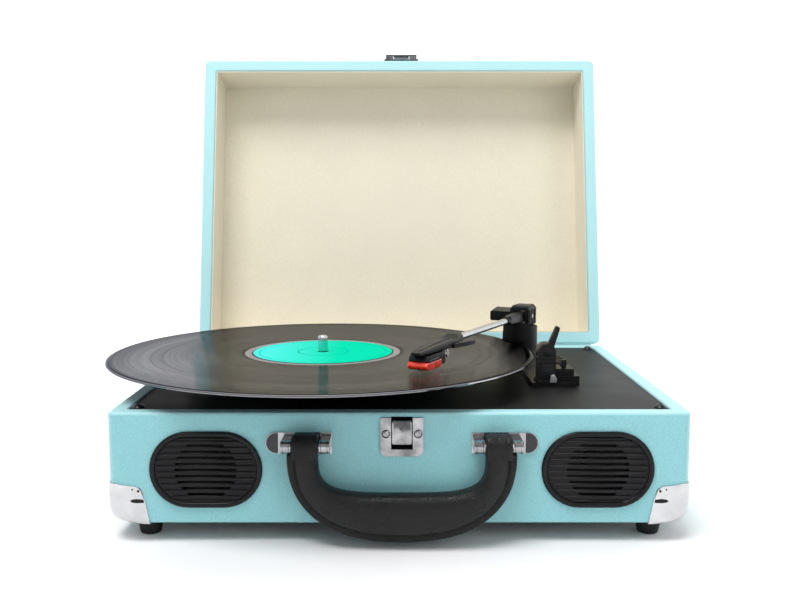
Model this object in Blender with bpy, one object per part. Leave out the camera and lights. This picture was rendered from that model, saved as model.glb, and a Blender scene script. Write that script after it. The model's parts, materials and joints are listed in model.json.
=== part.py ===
"""Suitcase record player, open, with a 12-inch record on the platter and the arm playing it.

Axes: X to the right, Y to the back, Z up. The origin is the centre of the case's underside.
Sizes are in millimetres until a mesh is made, and MM turns them into metres.
"""

import math

import bmesh
import bpy
from mathutils import Matrix, Vector

MM = 0.001
GAP = 0.3

# Case
CASE_WIDTH = 356.0
CASE_DEPTH = 260.0
BASE_HEIGHT = 69.0
WALL = 10.0
CORNER_RADIUS = 5.0
FOOT_RADIUS = 24.0
FLARE_HEIGHT = 15.0
INNER_RADIUS = 2.0
DECK_TOP = 68.0
DECK_THICKNESS = 2.5
RAIL_WIDTH = 9.0
BOTTOM_THICKNESS = 4.0
FRONT = -CASE_DEPTH / 2
BACK = CASE_DEPTH / 2
FOOT_HEIGHT = 12.5
BLOCK_REACH = 10
BLOCK_HEIGHT = 9.3
BLOCK_BITE = 1.7
FOOT_AT = (158.0, 110.0)
SCREW_AT = (163.0, 113.0)

# Lid, modelled closed in a frame on its hinge axis and then swung open
LID_HEIGHT = 49.0
LID_PANEL = 4.0
LID_LEAN = 12.6
HINGE_Y = BACK + 0.8
HINGE_Z = BASE_HEIGHT + GAP
HINGE_X = 110.0
KNUCKLE_RADIUS = 1.7

# Front fittings, which sit a little right of the case's middle
FITTINGS_X = 1.6
GRILLE_AT = (119.6, 33.7)
GRILLE_SIZE = (69.0, 47.5)
LATCH_LOW = 42.3
LATCH_HIGH = 66.0
HANDLE_AXIS = (FRONT - 10.3, 50.6)

# Turntable
SPINDLE_AT = (-55.3, -17.6)
MOTOR_AT = (-108.3, 35.4)
RECORD_RADIUS = 150.8
RECORD_TOP = 88.0
DRIVE_RADIUS = 55.0
PULLEY_RADIUS = 5.0

# Arm: x runs from the pivot to the stylus, y to its right, z up
PIVOT_AT = (102.0, 77.5)
ARM_ANGLE = 26.9
ARM_LEVEL = 102.0
TUBE_RADIUS = 2.5
TURRET_RADIUS = 11.7
TURRET_TOP = 93.7
LIFTER_POST = (86.0, 68.25)
LEVER_AXIS = (102.0, 92.4)
LEVER_DISC = 6.3
LEVER_Y = (-47.6, -39.4)


# ---------------------------------------------------------------- mesh helpers


def outward(bm):
    """Turn every face of a closed shape outwards."""
    bmesh.ops.recalc_face_normals(bm, faces=bm.faces)
    if bm.calc_volume(signed=True) < 0:
        bmesh.ops.reverse_faces(bm, faces=bm.faces)
    return bm


def rounded(width, depth, radius, steps=6, centre=(0.0, 0.0)):
    """Points of a rounded rectangle, anticlockwise."""
    points = []
    for k, (sx, sy) in enumerate(((1, 1), (-1, 1), (-1, -1), (1, -1))):
        cx = centre[0] + sx * (width / 2 - radius)
        cy = centre[1] + sy * (depth / 2 - radius)
        for i in range(steps + 1):
            a = math.radians(90 * (k + i / steps))
            points.append((cx + radius * math.cos(a), cy + radius * math.sin(a)))
    return points


def circle(radius, steps, centre=(0.0, 0.0)):
    turns = [2 * math.pi * i / steps for i in range(steps)]
    return [(centre[0] + radius * math.cos(a), centre[1] + radius * math.sin(a)) for a in turns]


def arc(centre, radius, start, end, steps):
    turns = [math.radians(start + (end - start) * i / steps) for i in range(steps + 1)]
    return [(centre[0] + radius * math.cos(a), centre[1] + radius * math.sin(a)) for a in turns]


def lofted(loops, closed=False):
    """A solid through loops of 3-D points. Open ends are capped; closed joins the last to the first."""
    bm = bmesh.new()
    rings = [[bm.verts.new(p) for p in loop] for loop in loops]
    count = len(rings[0])
    pairs = list(zip(rings, rings[1:] + rings[:1])) if closed else list(zip(rings, rings[1:]))
    for low, high in pairs:
        for i in range(count):
            j = (i + 1) % count
            bm.faces.new((low[i], low[j], high[j], high[i]))
    if not closed:
        bm.faces.new(rings[0][::-1])
        bm.faces.new(rings[-1])
    outward(bm)
    return bm


def prism(points, low, high):
    """A flat outline in X and Y, extruded from low to high along Z."""
    return lofted([[(x, y, z) for x, y in points] for z in (low, high)])


def block(x, y, z):
    return prism([(x[0], y[0]), (x[1], y[0]), (x[1], y[1]), (x[0], y[1])], z[0], z[1])


def turned(profile, steps, bore=False):
    """A profile of (radius, height) turned about Z. Without a bore it starts and ends on the axis."""
    bm = bmesh.new()
    rings = []
    for radius, height in profile:
        if radius == 0:
            rings.append([bm.verts.new((0, 0, height))])
        else:
            rings.append([bm.verts.new((x, y, height)) for x, y in circle(radius, steps)])
    pairs = list(zip(rings, rings[1:]))
    if bore:
        pairs.append((rings[-1], rings[0]))
    for low, high in pairs:
        for i in range(steps):
            j = (i + 1) % steps
            if len(low) == 1:
                bm.faces.new((low[0], high[j], high[i]))
            elif len(high) == 1:
                bm.faces.new((low[i], low[j], high[0]))
            else:
                bm.faces.new((low[i], low[j], high[j], high[i]))
    outward(bm)
    return bm


def moved(bm, offset=(0, 0, 0), turn=None):
    """Turn a mesh about an axis letter by degrees, then shift it."""
    if turn:
        bm.transform(Matrix.Rotation(math.radians(turn[1]), 4, turn[0]))
    bm.transform(Matrix.Translation(Vector(offset)))
    return bm


def side_prism(points, low, high):
    """An outline in X and Z, extruded from low to high along Y."""
    bm = moved(prism(points, -high, -low), turn=("X", 90))
    outward(bm)
    return bm


def rod(radius, x, y, z, steps=12, axis="X"):
    """A round bar between two places on X, Y or Z; the other two give its centre."""
    low, high = {"X": x, "Y": y, "Z": z}[axis]
    bm = prism(circle(radius, steps), low, high)
    if axis == "X":
        return moved(bm, (0, y, z), ("Y", 90))
    if axis == "Y":
        bm.transform(Matrix.Diagonal((1, 1, -1, 1)))
        outward(bm)
        return moved(bm, (x, 0, z), ("X", 90))
    return moved(bm, (x, y, 0))


def together(*parts):
    """Several meshes in one, for a cutter or a set of joined shapes."""
    bm = bmesh.new()
    for part in parts:
        mesh = bpy.data.meshes.new("part")
        part.to_mesh(mesh)
        part.free()
        bm.from_mesh(mesh)
        bpy.data.meshes.remove(mesh)
    return bm


# ---------------------------------------------------------------- objects

PALETTE = {
    "leatherette": ((0.28, 0.62, 0.66), 0.5, 0.0),
    "lining": ((0.83, 0.79, 0.66), 0.9, 0.0),
    "black_plastic": ((0.02, 0.02, 0.022), 0.45, 0.0),
    "black_sheet": ((0.035, 0.035, 0.037), 0.6, 0.0),
    "black_rubber": ((0.015, 0.015, 0.015), 0.7, 0.0),
    "black_leather": ((0.015, 0.015, 0.016), 0.5, 0.0),
    "chrome": ((0.75, 0.75, 0.76), 0.12, 1.0),
    "steel": ((0.5, 0.5, 0.52), 0.3, 1.0),
    "vinyl": ((0.012, 0.012, 0.013), 0.2, 0.0),
    "felt": ((0.03, 0.03, 0.03), 0.95, 0.0),
    "board": ((0.55, 0.42, 0.28), 0.8, 0.0),
    "circuit": ((0.03, 0.2, 0.07), 0.5, 0.0),
    "cone_paper": ((0.04, 0.04, 0.04), 0.8, 0.0),
    "stylus_red": ((0.75, 0.06, 0.03), 0.35, 0.0),
}


def material(kind):
    found = bpy.data.materials.get(kind)
    if found:
        return found
    colour, rough, metallic = PALETTE[kind]
    made = bpy.data.materials.new(kind)
    made.use_nodes = True
    shader = made.node_tree.nodes["Principled BSDF"]
    shader.inputs["Base Color"].default_value = (*colour, 1.0)
    shader.inputs["Roughness"].default_value = rough
    shader.inputs["Metallic"].default_value = metallic
    return made


def piece(name, bm, kind, at=(0, 0, 0), parent=None, smooth=35):
    """One named solid, with its origin at a place given in its parent's frame."""
    bm.transform(Matrix.Scale(MM, 4))
    mesh = bpy.data.meshes.new(name)
    bm.to_mesh(mesh)
    bm.free()
    mesh.shade_smooth()
    mesh.set_sharp_from_angle(angle=math.radians(smooth))
    mesh.materials.append(material(kind))
    made = bpy.data.objects.new(name, mesh)
    bpy.context.scene.collection.objects.link(made)
    made.location = Vector(at) * MM
    made.parent = parent
    return made


def combine(target, bm, operation):
    """Cut a shape from a piece, or join it on, in the piece's own frame."""
    tool = piece(f"{target.name}_{operation.lower()}_{len(target.modifiers)}", bm, "steel")
    tool.location = target.location
    tool.parent = target.parent
    tool.hide_render = True
    tool.display_type = "WIRE"
    change = target.modifiers.new(operation.title(), "BOOLEAN")
    change.operation = operation
    change.object = tool


def cut(target, *shapes):
    combine(target, together(*shapes), "DIFFERENCE")


def join(target, *shapes):
    for shape in shapes:
        combine(target, shape, "UNION")


def axis_empty(name, at, turn=None, parent=None):
    empty = bpy.data.objects.new(name, None)
    bpy.context.scene.collection.objects.link(empty)
    empty.location = Vector(at) * MM
    if turn:
        empty.rotation_euler["XYZ".index(turn[0])] = math.radians(turn[1])
    empty.parent = parent
    return empty


# ---------------------------------------------------------------- case


def outline(inset, z, radius, steps=6):
    points = rounded(CASE_WIDTH - 2 * inset, CASE_DEPTH - 2 * inset, radius, steps)
    return [(x, y, z) for x, y in points]


def flared_radius(z):
    """The base's vertical corner radius, which grows towards the underside."""
    if z >= FLARE_HEIGHT:
        return CORNER_RADIUS
    across = (FLARE_HEIGHT - z) / FLARE_HEIGHT
    return CORNER_RADIUS + (FOOT_RADIUS - CORNER_RADIUS) * (1 - math.sqrt(1 - across**2))


def stadium(size, centre, inset=0.0, steps=8):
    width, height = size[0] - 2 * inset, size[1] - 2 * inset
    return rounded(width, height, height / 2 - 0.01, steps, centre)


def grille_centre(side):
    return FITTINGS_X + side * GRILLE_AT[0], GRILLE_AT[1]


def hinge_pockets(y, z):
    return [block((x - 21, x + 21), y, z) for x in (-HINGE_X, HINGE_X)]


FLARE_ROWS = (0.8, 2.2, 4.5, 8.0, FLARE_HEIGHT)


def corner_blocks():
    """Blocks in the base's lower corners, which the feet are screwed to."""
    blocks = []
    inside = (CASE_WIDTH / 2 - WALL, CASE_DEPTH / 2 - WALL)
    spans = [(at - BLOCK_REACH, edge + BLOCK_BITE) for at, edge in zip(FOOT_AT, inside)]
    for _, sx, sy in CORNERS:
        x, y = (sorted(sign * place for place in span) for sign, span in zip((sx, sy), spans))
        blocks.append(block(x, y, (GAP, BLOCK_HEIGHT)))
    return blocks


def base_case():
    top, inner = BASE_HEIGHT, INNER_RADIUS
    rail = DECK_TOP - DECK_THICKNESS - GAP
    loops = [outline(0.8, 0, FOOT_RADIUS - 0.8)]
    loops += [outline(0, z, flared_radius(z)) for z in FLARE_ROWS]
    loops += [outline(0, top - 1.6, CORNER_RADIUS)]
    loops += [outline(0.5, top - 0.5, CORNER_RADIUS - 0.5), outline(1.6, top, CORNER_RADIUS - 1.6)]
    loops += [outline(WALL - 0.8, top, inner + 0.8), outline(WALL, top - 0.8, inner)]
    loops += [outline(WALL, rail, inner), outline(WALL + RAIL_WIDTH, rail, inner)]
    loops += [outline(WALL + RAIL_WIDTH, rail - 6, inner), outline(WALL, rail - 6, inner)]
    loops += [outline(WALL, 0, inner)]
    case = piece("base_case", lofted(loops, closed=True), "leatherette")
    join(case, *corner_blocks())
    holes = []
    for side in (-1, 1):
        opening = stadium((64, 42), grille_centre(side))
        holes.append(side_prism(opening, FRONT - 5, FRONT + WALL + 5))
    slot = (FITTINGS_X - 6.6, FITTINGS_X + 6.6)
    holes.append(block(slot, (FRONT - 5, FRONT + 6), (46.5, BASE_HEIGHT - 2.4)))
    holes.append(block((-50, 50), (BACK - WALL - 5, BACK + 5), (16, 52)))
    holes += hinge_pockets((BACK - 1.4, BACK + 5), (BASE_HEIGHT - 1.9, BASE_HEIGHT + 5))
    for x in (-SCREW_AT[0], SCREW_AT[0]):
        for y in (-SCREW_AT[1], SCREW_AT[1]):
            holes.append(rod(1.8, x, y, (rail - 10, rail + 2.5), 8, "Z"))
    cut(case, *holes)


def bottom_panel():
    """A board between the walls, cut away at the corners for the blocks that carry the feet."""
    inset = WALL + GAP
    width, depth = CASE_WIDTH / 2 - inset, CASE_DEPTH / 2 - inset
    notch_x, notch_y = (at - BLOCK_REACH - GAP for at in FOOT_AT)
    points = []
    for sx, sy in ((1, 1), (-1, 1), (-1, -1), (1, -1)):
        corner = [(width, notch_y), (notch_x, notch_y), (notch_x, depth)]
        points += [(sx * x, sy * y) for x, y in corner[:: sx * sy]]
    piece("bottom_panel", prism(points, 0, BOTTOM_THICKNESS), "board")


def feet():
    top, bottom = -GAP, -FOOT_HEIGHT
    profile = [(0, top), (8.5, top), (8.3, top - 2), (6.6, bottom + 0.7), (6.0, bottom), (0, bottom)]
    for name, sx, sy in CORNERS:
        at = (sx * FOOT_AT[0], sy * FOOT_AT[1], 0)
        piece(f"foot_{name}", turned(profile, 20), "black_rubber", at)


CORNERS = (("front_left", -1, -1), ("front_right", 1, -1), ("rear_left", -1, 1), ("rear_right", 1, 1))


def cap_reach(z):
    """How far a cap runs along the front, from the plane of the side; its ends slant."""
    return 25.0 - 0.19 * max(z, 0)


def cap_columns(inset, radius, reach):
    """Points round the corner where +X meets +Y, each with its distance from the side's plane."""
    straight = reach - inset - radius
    runs = [radius + straight * f for f in (1.0, 0.93, 0.8, 0.55, 0.25)]
    width, depth = CASE_WIDTH / 2 - inset, CASE_DEPTH / 2 - inset
    turn = arc((width - radius, depth - radius), radius, 0, 90, 8)
    side = [(width, depth - run) for run in runs]
    front = [(width - run, depth) for run in reversed(runs)]
    away = runs + [0] * len(turn) + runs[::-1]
    return list(zip(side + turn + front, away))


def cap_top(away):
    """The height of a cap's upper edge, falling and then rounding over towards its ends."""
    edge, bend = 15.8, 5.6
    level = 25.0 - 0.11 * min(away, edge)
    over = min(max(away - edge, 0) / bend, 1)
    return level - bend * (1 - math.sqrt(1 - over**2))


def cap_sheet(offset):
    """One face of a cap, as rows of points from its flange under the case to its upper edge."""
    low = -offset
    rows = []
    for inset in (7.0, 0.9 - offset):
        row = cap_columns(inset, FOOT_RADIUS - inset, cap_reach(0))
        rows.append([(x, y, low) for (x, y), _ in row])
    for z in FLARE_ROWS:
        radius = flared_radius(z) + offset
        rows.append([(x, y, z) for (x, y), _ in cap_columns(low, radius, cap_reach(z))])
    for part in (0.5, 1.0):
        row = cap_columns(low, CORNER_RADIUS + offset, cap_reach(20))
        rise = [FLARE_HEIGHT + part * (cap_top(away) - FLARE_HEIGHT) for _, away in row]
        rows.append([(x, y, z) for ((x, y), _), z in zip(row, rise)])
    return rows


def base_corners():
    """Metal corner caps: one sheet round each corner and under it, 0.6 mm thick."""
    for name, sx, sy in CORNERS:
        bm = lofted_sheet(cap_sheet(0.25), cap_sheet(0.85))
        bm.transform(Matrix.Diagonal((sx, sy, 1, 1)))
        outward(bm)
        piece(f"corner_{name}", bm, "chrome")


def lofted_sheet(inner, outer):
    """A sheet with thickness, from two grids of points with the same rows and columns."""
    bm = bmesh.new()
    low = [[bm.verts.new(p) for p in row] for row in inner]
    high = [[bm.verts.new(p) for p in row] for row in outer]
    rows, columns = len(low), len(low[0])
    for r in range(rows - 1):
        for c in range(columns - 1):
            for grid in (low, high):
                bm.faces.new((grid[r][c], grid[r][c + 1], grid[r + 1][c + 1], grid[r + 1][c]))
        for c in (0, columns - 1):
            bm.faces.new((low[r][c], high[r][c], high[r + 1][c], low[r + 1][c]))
    for r in (0, rows - 1):
        for c in range(columns - 1):
            bm.faces.new((low[r][c], low[r][c + 1], high[r][c + 1], high[r][c]))
    outward(bm)
    return bm


def deck():
    inset = WALL + GAP
    points = rounded(CASE_WIDTH - 2 * inset, CASE_DEPTH - 2 * inset, INNER_RADIUS - 0.1, 3)
    low = DECK_TOP - DECK_THICKNESS
    plate = piece("deck_plate", prism(points, low, DECK_TOP), "black_sheet")
    span = (low - 3, DECK_TOP + 3)
    holes = [rod(6.3, *SPINDLE_AT, span, 20, "Z"), rod(7.0, *MOTOR_AT, span, 16, "Z")]
    for x in (-SCREW_AT[0], SCREW_AT[0]):
        for y in (-SCREW_AT[1], SCREW_AT[1]):
            holes.append(rod(1.8, x, y, span, 8, "Z"))
    cut(plate, *holes)
    head = [(0, 2.5), (1.8, 2.3), (3.1, 1.5), (3.8, 0.3), (1.5, 0.3), (1.5, -9), (0, -9)]
    for name, sx, sy in CORNERS:
        at = (sx * SCREW_AT[0], sy * SCREW_AT[1], DECK_TOP)
        piece(f"deck_screw_{name}", turned(head, 12), "black_plastic", at)


# ---------------------------------------------------------------- front fittings


def grilles():
    """Each grille has shallow slots over its whole field, cut through in front of the speaker."""
    pitch, gap, field, speaker = 3.8, 1.4, (62.0, 41.0), 19.2
    for name, side in (("left", -1), ("right", 1)):
        x, z = grille_centre(side)
        bezel = side_prism(stadium(GRILLE_SIZE, (x, z)), FRONT - 2.2, FRONT - GAP)
        grille = piece(f"grille_{name}", bezel, "black_plastic")
        join(grille, side_prism(stadium((63.4, 41.4), (x, z)), FRONT - 1.0, FRONT + 4))
        slots = []
        for k in range(-5, 6):
            height = abs(k) * pitch
            end = math.sqrt((field[1] / 2) ** 2 - height**2)
            reach = (field[0] - field[1]) / 2 + end
            low, high = z + k * pitch - gap / 2, z + k * pitch + gap / 2
            slots.append(block((x - reach, x + reach), (FRONT - 5, FRONT - 1.1), (low, high)))
            if height < speaker - 1:
                through = math.sqrt(speaker**2 - height**2)
                slots.append(block((x - through, x + through), (FRONT - 6, FRONT + 9), (low, high)))
        for slot in slots:
            cut(grille, slot)


def speakers():
    basket = [(0, 24), (15, 24), (15, 16), (12, 15), (22.5, 1.6), (25.4, 1.6), (25.4, 0)]
    basket += [(21.0, 0), (10.5, 13.5), (10.5, 20), (0, 20)]
    cone = [(0, 8.2), (3.5, 8.8), (6.2, 11.4), (19.4, 0.4), (19.4, 1.1), (6.8, 12.4), (0, 12.4)]
    for name, side in (("left", -1), ("right", 1)):
        x, z = grille_centre(side)
        at = (x, FRONT + WALL + GAP, z)
        piece(f"speaker_basket_{name}", moved(turned(basket, 20), turn=("X", -90)), "steel", at)
        piece(f"speaker_cone_{name}", moved(turned(cone, 20), turn=("X", -90)), "cone_paper", at)


def latch():
    """The case's half of the latch: a plate with a slot, and a button that slides down in it."""
    x, half = FITTINGS_X, 13.0
    plate = [(-half, LATCH_HIGH), (-half, LATCH_LOW + 3), (-half + 0.9, LATCH_LOW + 0.9)]
    plate += [(-half + 3, LATCH_LOW), (half - 3, LATCH_LOW), (half - 0.9, LATCH_LOW + 0.9)]
    plate += [(half, LATCH_LOW + 3), (half, LATCH_HIGH)]
    catch = piece("latch_plate", side_prism(plate, FRONT - 1.5, FRONT - GAP), "chrome", (x, 0, 0))
    cut(catch, block((-6.6, 6.6), (FRONT - 5, FRONT + 2), (46.5, LATCH_HIGH + 5)))
    button = side_prism(rounded(12.2, 14.9, 1.2, 3, (0, 57.35)), FRONT - 4.0, FRONT - 1.8)
    tab = piece("latch_button", button, "chrome", (x, 0, 0))
    join(tab, block((-6.1, 6.1), (FRONT - 2, FRONT + 5), (51.5, 63.0)))


def handle_brackets():
    y, z = HANDLE_AXIS
    for name, side in (("left", -1), ("right", 1)):
        end = arc((76.4, z), 6.5, 90, -90, 8)
        plate = side_prism([(42.4, z - 6.5), (42.4, z + 6.5), *end], FRONT - 1.5, FRONT - GAP)
        shapes = [plate]
        for x in ((43.2, 49.4), (66.4, 72.4)):
            web = block(x, (y, FRONT - 1.0), (z - 3.2, z + 3.2))
            shapes += [web, rod(4.0, x, y, z, 14)]
        shapes.append(rod(2.0, (49.0, 67.0), y, z, 10))
        for shape in shapes:
            shape.transform(Matrix.Diagonal((side, 1, 1, 1)))
            outward(shape)
        bracket = piece(f"handle_bracket_{name}", shapes[0], "chrome", (FITTINGS_X, 0, 0))
        join(bracket, *shapes[1:])


def grip_curve(angle, width, drop, power):
    """A point on the lower half of a superellipse; angle runs from 0 at -X to 180 at +X."""
    c, s = math.cos(math.radians(angle)), math.sin(math.radians(angle))
    x = -math.copysign(abs(c) ** (2 / power), c) * width
    return Vector((x, -4.6 - abs(s) ** (2 / power) * drop))


def grip_section(inside, outside, edge, half=8.3):
    """One slice of the grip: an oval from its inner to its outer curve, and a flange to its edge."""
    middle, along = (inside + outside) / 2, (outside - inside) / 2
    points = []
    for k in range(-6, 7):
        a = math.radians(180 + k * 26)
        flat = middle + along * math.copysign(abs(math.cos(a)) ** 0.8, math.cos(a))
        points.append((flat.x, half * math.copysign(abs(math.sin(a)) ** 0.8, math.sin(a)), flat.y))
    foot = outside - (outside - inside).normalized() * 0.4
    rim = [(foot.x, -3.0, foot.y), (edge.x, -2.6, edge.y), (edge.x, 2.6, edge.y), (foot.x, 3.0, foot.y)]
    return points + rim


def handle():
    """The moulded grip, hanging from its two pins, in a frame on their axis."""
    pivot = axis_empty("handle_axis", (FITTINGS_X, *HANDLE_AXIS))
    loops = []
    for k in range(25):
        angle = 180 * k / 24
        inside = grip_curve(angle, 50.0, 23.8, 4.0)
        outside = grip_curve(angle, 64.8, 50.0, 2.35)
        edge = grip_curve(angle, 69.0, 54.0, 2.35)
        loops.append(grip_section(inside, outside, edge))
    grip = piece("handle", lofted(loops), "black_leather", parent=pivot, smooth=50)
    dome = [(y, z) for y, z in arc((0, 0), 8.3, 0, 180, 12)]
    leg = [*dome, (-8.3, -5.5), (8.3, -5.5)]
    for low, high in ((-65.6, -50.0), (50.0, 65.6)):
        loops = [[(x, y, z) for y, z in leg] for x in (low, high)]
        join(grip, lofted(loops))
    cut(grip, rod(2.5, (-80, 80), 0, 0, 12))


# ---------------------------------------------------------------- lid


def lid_outline(inset, z, radius, steps=6):
    centre = (0.0, BACK - HINGE_Y - CASE_DEPTH / 2)
    points = rounded(CASE_WIDTH - 2 * inset, CASE_DEPTH - 2 * inset, radius, steps, centre)
    return [(x, y, z) for x, y in points]


def knuckles(spans, radius):
    return [rod(radius, span, 0, 0, 12) for span in spans]


def hinges(lid_axis):
    """Two butt hinges: a leaf on each wall at the back. The pin is one with the base's leaf."""
    wide = 20
    for name, x in (("left", -HINGE_X), ("right", HINGE_X)):
        at = (x, HINGE_Y, HINGE_Z)
        base = piece(f"hinge_base_leaf_{name}", block((-wide, wide), (-0.5, 0.5), (-17.3, -2.1)), "steel", at)
        for span in ((-wide, -7.0), (7.0, wide)):
            join(base, block(span, (-0.5, 0.5), (-2.5, -0.8)), *knuckles((span,), KNUCKLE_RADIUS))
        join(base, *knuckles(((-8, 8),), 0.8))
        at = (x, 0, 0)
        lid_leaf = block((-wide, wide), (-0.5, 0.5), (2.1, 18))
        upper = piece(f"hinge_lid_leaf_{name}", lid_leaf, "steel", at, lid_axis)
        join(upper, block((-6.6, 6.6), (-0.5, 0.5), (0.9, 2.5)))
        join(upper, *knuckles(((-6.6, 6.6),), KNUCKLE_RADIUS))
        cut(upper, *knuckles(((-9, 9),), 1.1))


def lid():
    axis = axis_empty("lid_axis", (0, HINGE_Y, HINGE_Z), ("X", -90 - LID_LEAN))
    top, radius = LID_HEIGHT + GAP, CORNER_RADIUS
    floor = top - LID_PANEL
    loops = [lid_outline(4.0, top, radius - 4), lid_outline(1.2, top - 1.2, radius - 1.2)]
    loops += [lid_outline(0, top - 4.0, radius), lid_outline(0, GAP + 1.6, radius)]
    loops += [lid_outline(0.5, GAP + 0.5, radius - 0.5), lid_outline(1.6, GAP, radius - 1.6)]
    loops += [lid_outline(WALL - 0.8, GAP, 2.8), lid_outline(WALL, GAP + 0.8, 2.0)]
    loops += [lid_outline(WALL, floor, 2.0)]
    case = piece("lid_case", lofted(loops), "leatherette", parent=axis)
    cut(case, *hinge_pockets((-2.2, 5), (-5, 2.2)))
    rim, inner = GAP + 1.0, 0.8
    loops = [lid_outline(WALL + GAP, floor - GAP, 1.7, 6), lid_outline(WALL + GAP, rim, 1.7, 6)]
    loops += [lid_outline(WALL + GAP + inner, rim, 0.9, 6)]
    loops += [lid_outline(WALL + GAP + inner, floor - GAP - inner, 0.9, 6)]
    piece("lid_lining", lofted(loops), "lining", parent=axis)
    hasp(axis)
    hinges(axis)


def hasp(lid_axis):
    """The lid's half of the latch: a plate on its front wall and a clasp hinged to it, folded back."""
    wall = BACK - HINGE_Y - CASE_DEPTH
    y, z, radius = wall - 6.0, 4.0, 2.4
    plate = block((-15.5, 15.5), (wall - 1.5, wall - GAP), (1.0, 14.0))
    base = piece("hasp_base", plate, "chrome", (FITTINGS_X, 0, 0), lid_axis)
    for x in ((-14.0, -7.3), (7.3, 14.0)):
        join(base, block(x, (y, wall - 1.0), (z - 2.0, z + 2.0)), rod(radius, x, y, z, 12))
    join(base, rod(1.0, (-8, 8), y, z, 10))
    axis = axis_empty("hasp_axis", (FITTINGS_X, y, z), parent=lid_axis)
    clasp = piece("hasp", rod(radius, (-6.9, 6.9), 0, 0, 12), "chrome", parent=axis)
    join(clasp, block((-6.9, 6.9), (-2.6, -1.2), (0, 22)))
    join(clasp, block((-4.5, 4.5), (-5.2, -1.8), (20.2, 21.6)))
    cut(clasp, rod(1.3, (-9, 9), 0, 0, 10))


# ---------------------------------------------------------------- turntable


def turntable():
    at = (*SPINDLE_AT, 0)
    bush = [(3.3, 70), (10.4, 70), (11, 69.4), (11, 68.3), (6, 68.3), (6, 50), (3.3, 50)]
    piece("bearing_bush", turned(bush, 20, bore=True), "steel", at)
    top, under, ring = 82.9, 80.5, DRIVE_RADIUS
    platter = [(3.8, top), (97.4, top), (98, top - 0.6), (98, 75), (95.5, 75), (95.5, under), (ring, under)]
    platter += [(ring, 72), (ring - 2.5, 72), (ring - 2.5, under), (8, under), (8, 71), (3.8, 71)]
    piece("platter", turned(platter, 48, bore=True), "black_plastic", at)
    mat = [(4.5, 85.7), (96.6, 85.7), (97, 85.3), (97, 83.2), (4.5, 83.2)]
    piece("slipmat", turned(mat, 40, bore=True), "felt", at)
    spindle = [(0, 99.8), (1.5, 99.5), (2.7, 98.7), (3.3, 97.4), (3.5, 96.2)]
    spindle += [(3.5, 73.5), (3, 73.5), (3, 52), (0, 52)]
    piece("spindle", turned(spindle, 16), "chrome", at)
    r, t = RECORD_RADIUS, RECORD_TOP
    disc = [(3.8, t), (r - 1.4, t), (r - 0.4, t - 0.3), (r, t - 1), (r - 0.4, t - 1.7), (r - 1.4, t - 2)]
    disc += [(3.8, t - 2)]
    piece("record", turned(disc, 80, bore=True), "vinyl", at)


def motor_drive():
    at = (*MOTOR_AT, 0)
    body = [(1.4, 62), (3.4, 62), (3.4, 60.5), (17, 60.5), (18, 59.5), (18, 41), (17, 40), (1.4, 40)]
    piece("motor", turned(body, 24, bore=True), "steel", at)
    r = PULLEY_RADIUS
    pulley = [(0, 77.5), (r + 0.8, 77.5), (r + 0.8, 76.6), (r, 76.4), (r, 72.6), (r + 0.8, 72.4)]
    pulley += [(r + 0.8, 71.5), (1.0, 71.5), (1.0, 41), (0, 41)]
    piece("motor_pulley", turned(pulley, 16), "steel", at)
    x, y = MOTOR_AT
    plate = block((x - 30, x + 30), (y - 22, y + 22), (62.3, 63.8))
    bracket = piece("motor_bracket", plate, "steel")
    for sx in (-25, 25):
        for sy in (-17, 17):
            join(bracket, rod(3.0, x + sx, y + sy, (63, 65.2), 10, "Z"))
    cut(bracket, rod(4.0, x, y, (60, 68), 14, "Z"))
    inside, outside = belt_path(GAP), belt_path(GAP + 0.6)
    runs = ((inside, 72.8), (outside, 72.8), (outside, 76.2), (inside, 76.2))
    loops = [[(x, y, z) for x, y in path] for path, z in runs]
    piece("drive_belt", lofted(loops, closed=True), "black_rubber")


def belt_path(offset):
    """The belt's run round the drive ring and the pulley, a little outside both."""
    big, small = Vector(SPINDLE_AT), Vector(MOTOR_AT)
    span = small - big
    r_big, r_small = DRIVE_RADIUS + offset, PULLEY_RADIUS + offset
    heading = math.degrees(math.atan2(span.y, span.x))
    lean = math.degrees(math.acos((r_big - r_small) / span.length))
    points = arc(big, r_big, heading + lean, heading + 360 - lean, 40)
    points += arc(small, r_small, heading - lean, heading + lean, 10)
    return points


# ---------------------------------------------------------------- arm


def arm_base():
    """The fixed plate beside the platter, with the turret and the ribbed console."""
    low = DECK_TOP + GAP
    points = [(92, -50), (122, -50), (122, 96), (82, 96), (82, 58), (92, 58)]
    base = piece("arm_base", prism(points, low, low + 3), "black_plastic")
    join(base, rod(TURRET_RADIUS, *PIVOT_AT, (low + 1, TURRET_TOP), 28, "Z"))
    join(base, rod(4.0, *LIFTER_POST, (low + 1, 80), 14, "Z"))
    join(base, block((109.7, 125.5), (-45, 12), (low, 75)))
    join(base, block((109.7, 121.6), (-45, 12), (low + 2, 80)))
    holes = [rod(4.3, *PIVOT_AT, (75, TURRET_TOP + 4), 16, "Z")]
    holes.append(rod(2.2, *LIFTER_POST, (low - 2, 84), 12, "Z"))
    holes.append(block((114.0, 116.0), (-43.6, -27), (74.5, 84)))
    cut(base, *holes)


def arm_rest():
    """The post that holds the parked arm, with a pocket across it for the lever's disc."""
    low = DECK_TOP + 3 + 2 * GAP
    tower = piece("arm_rest", block((95.9, 108.1), (-49.9, -37), (low, 92)), "black_plastic")
    pocket = block((90, 115), (LEVER_Y[0] - 0.4, LEVER_Y[1] + 0.4), (85.7, 99))
    x, z = LEVER_AXIS
    join(tower, rod(6.1, x, (-49.9, -37), z, 20, "Y"))
    cut(tower, pocket)
    join(tower, rod(1.3, x, (-49, -38), z, 10, "Y"))


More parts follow.
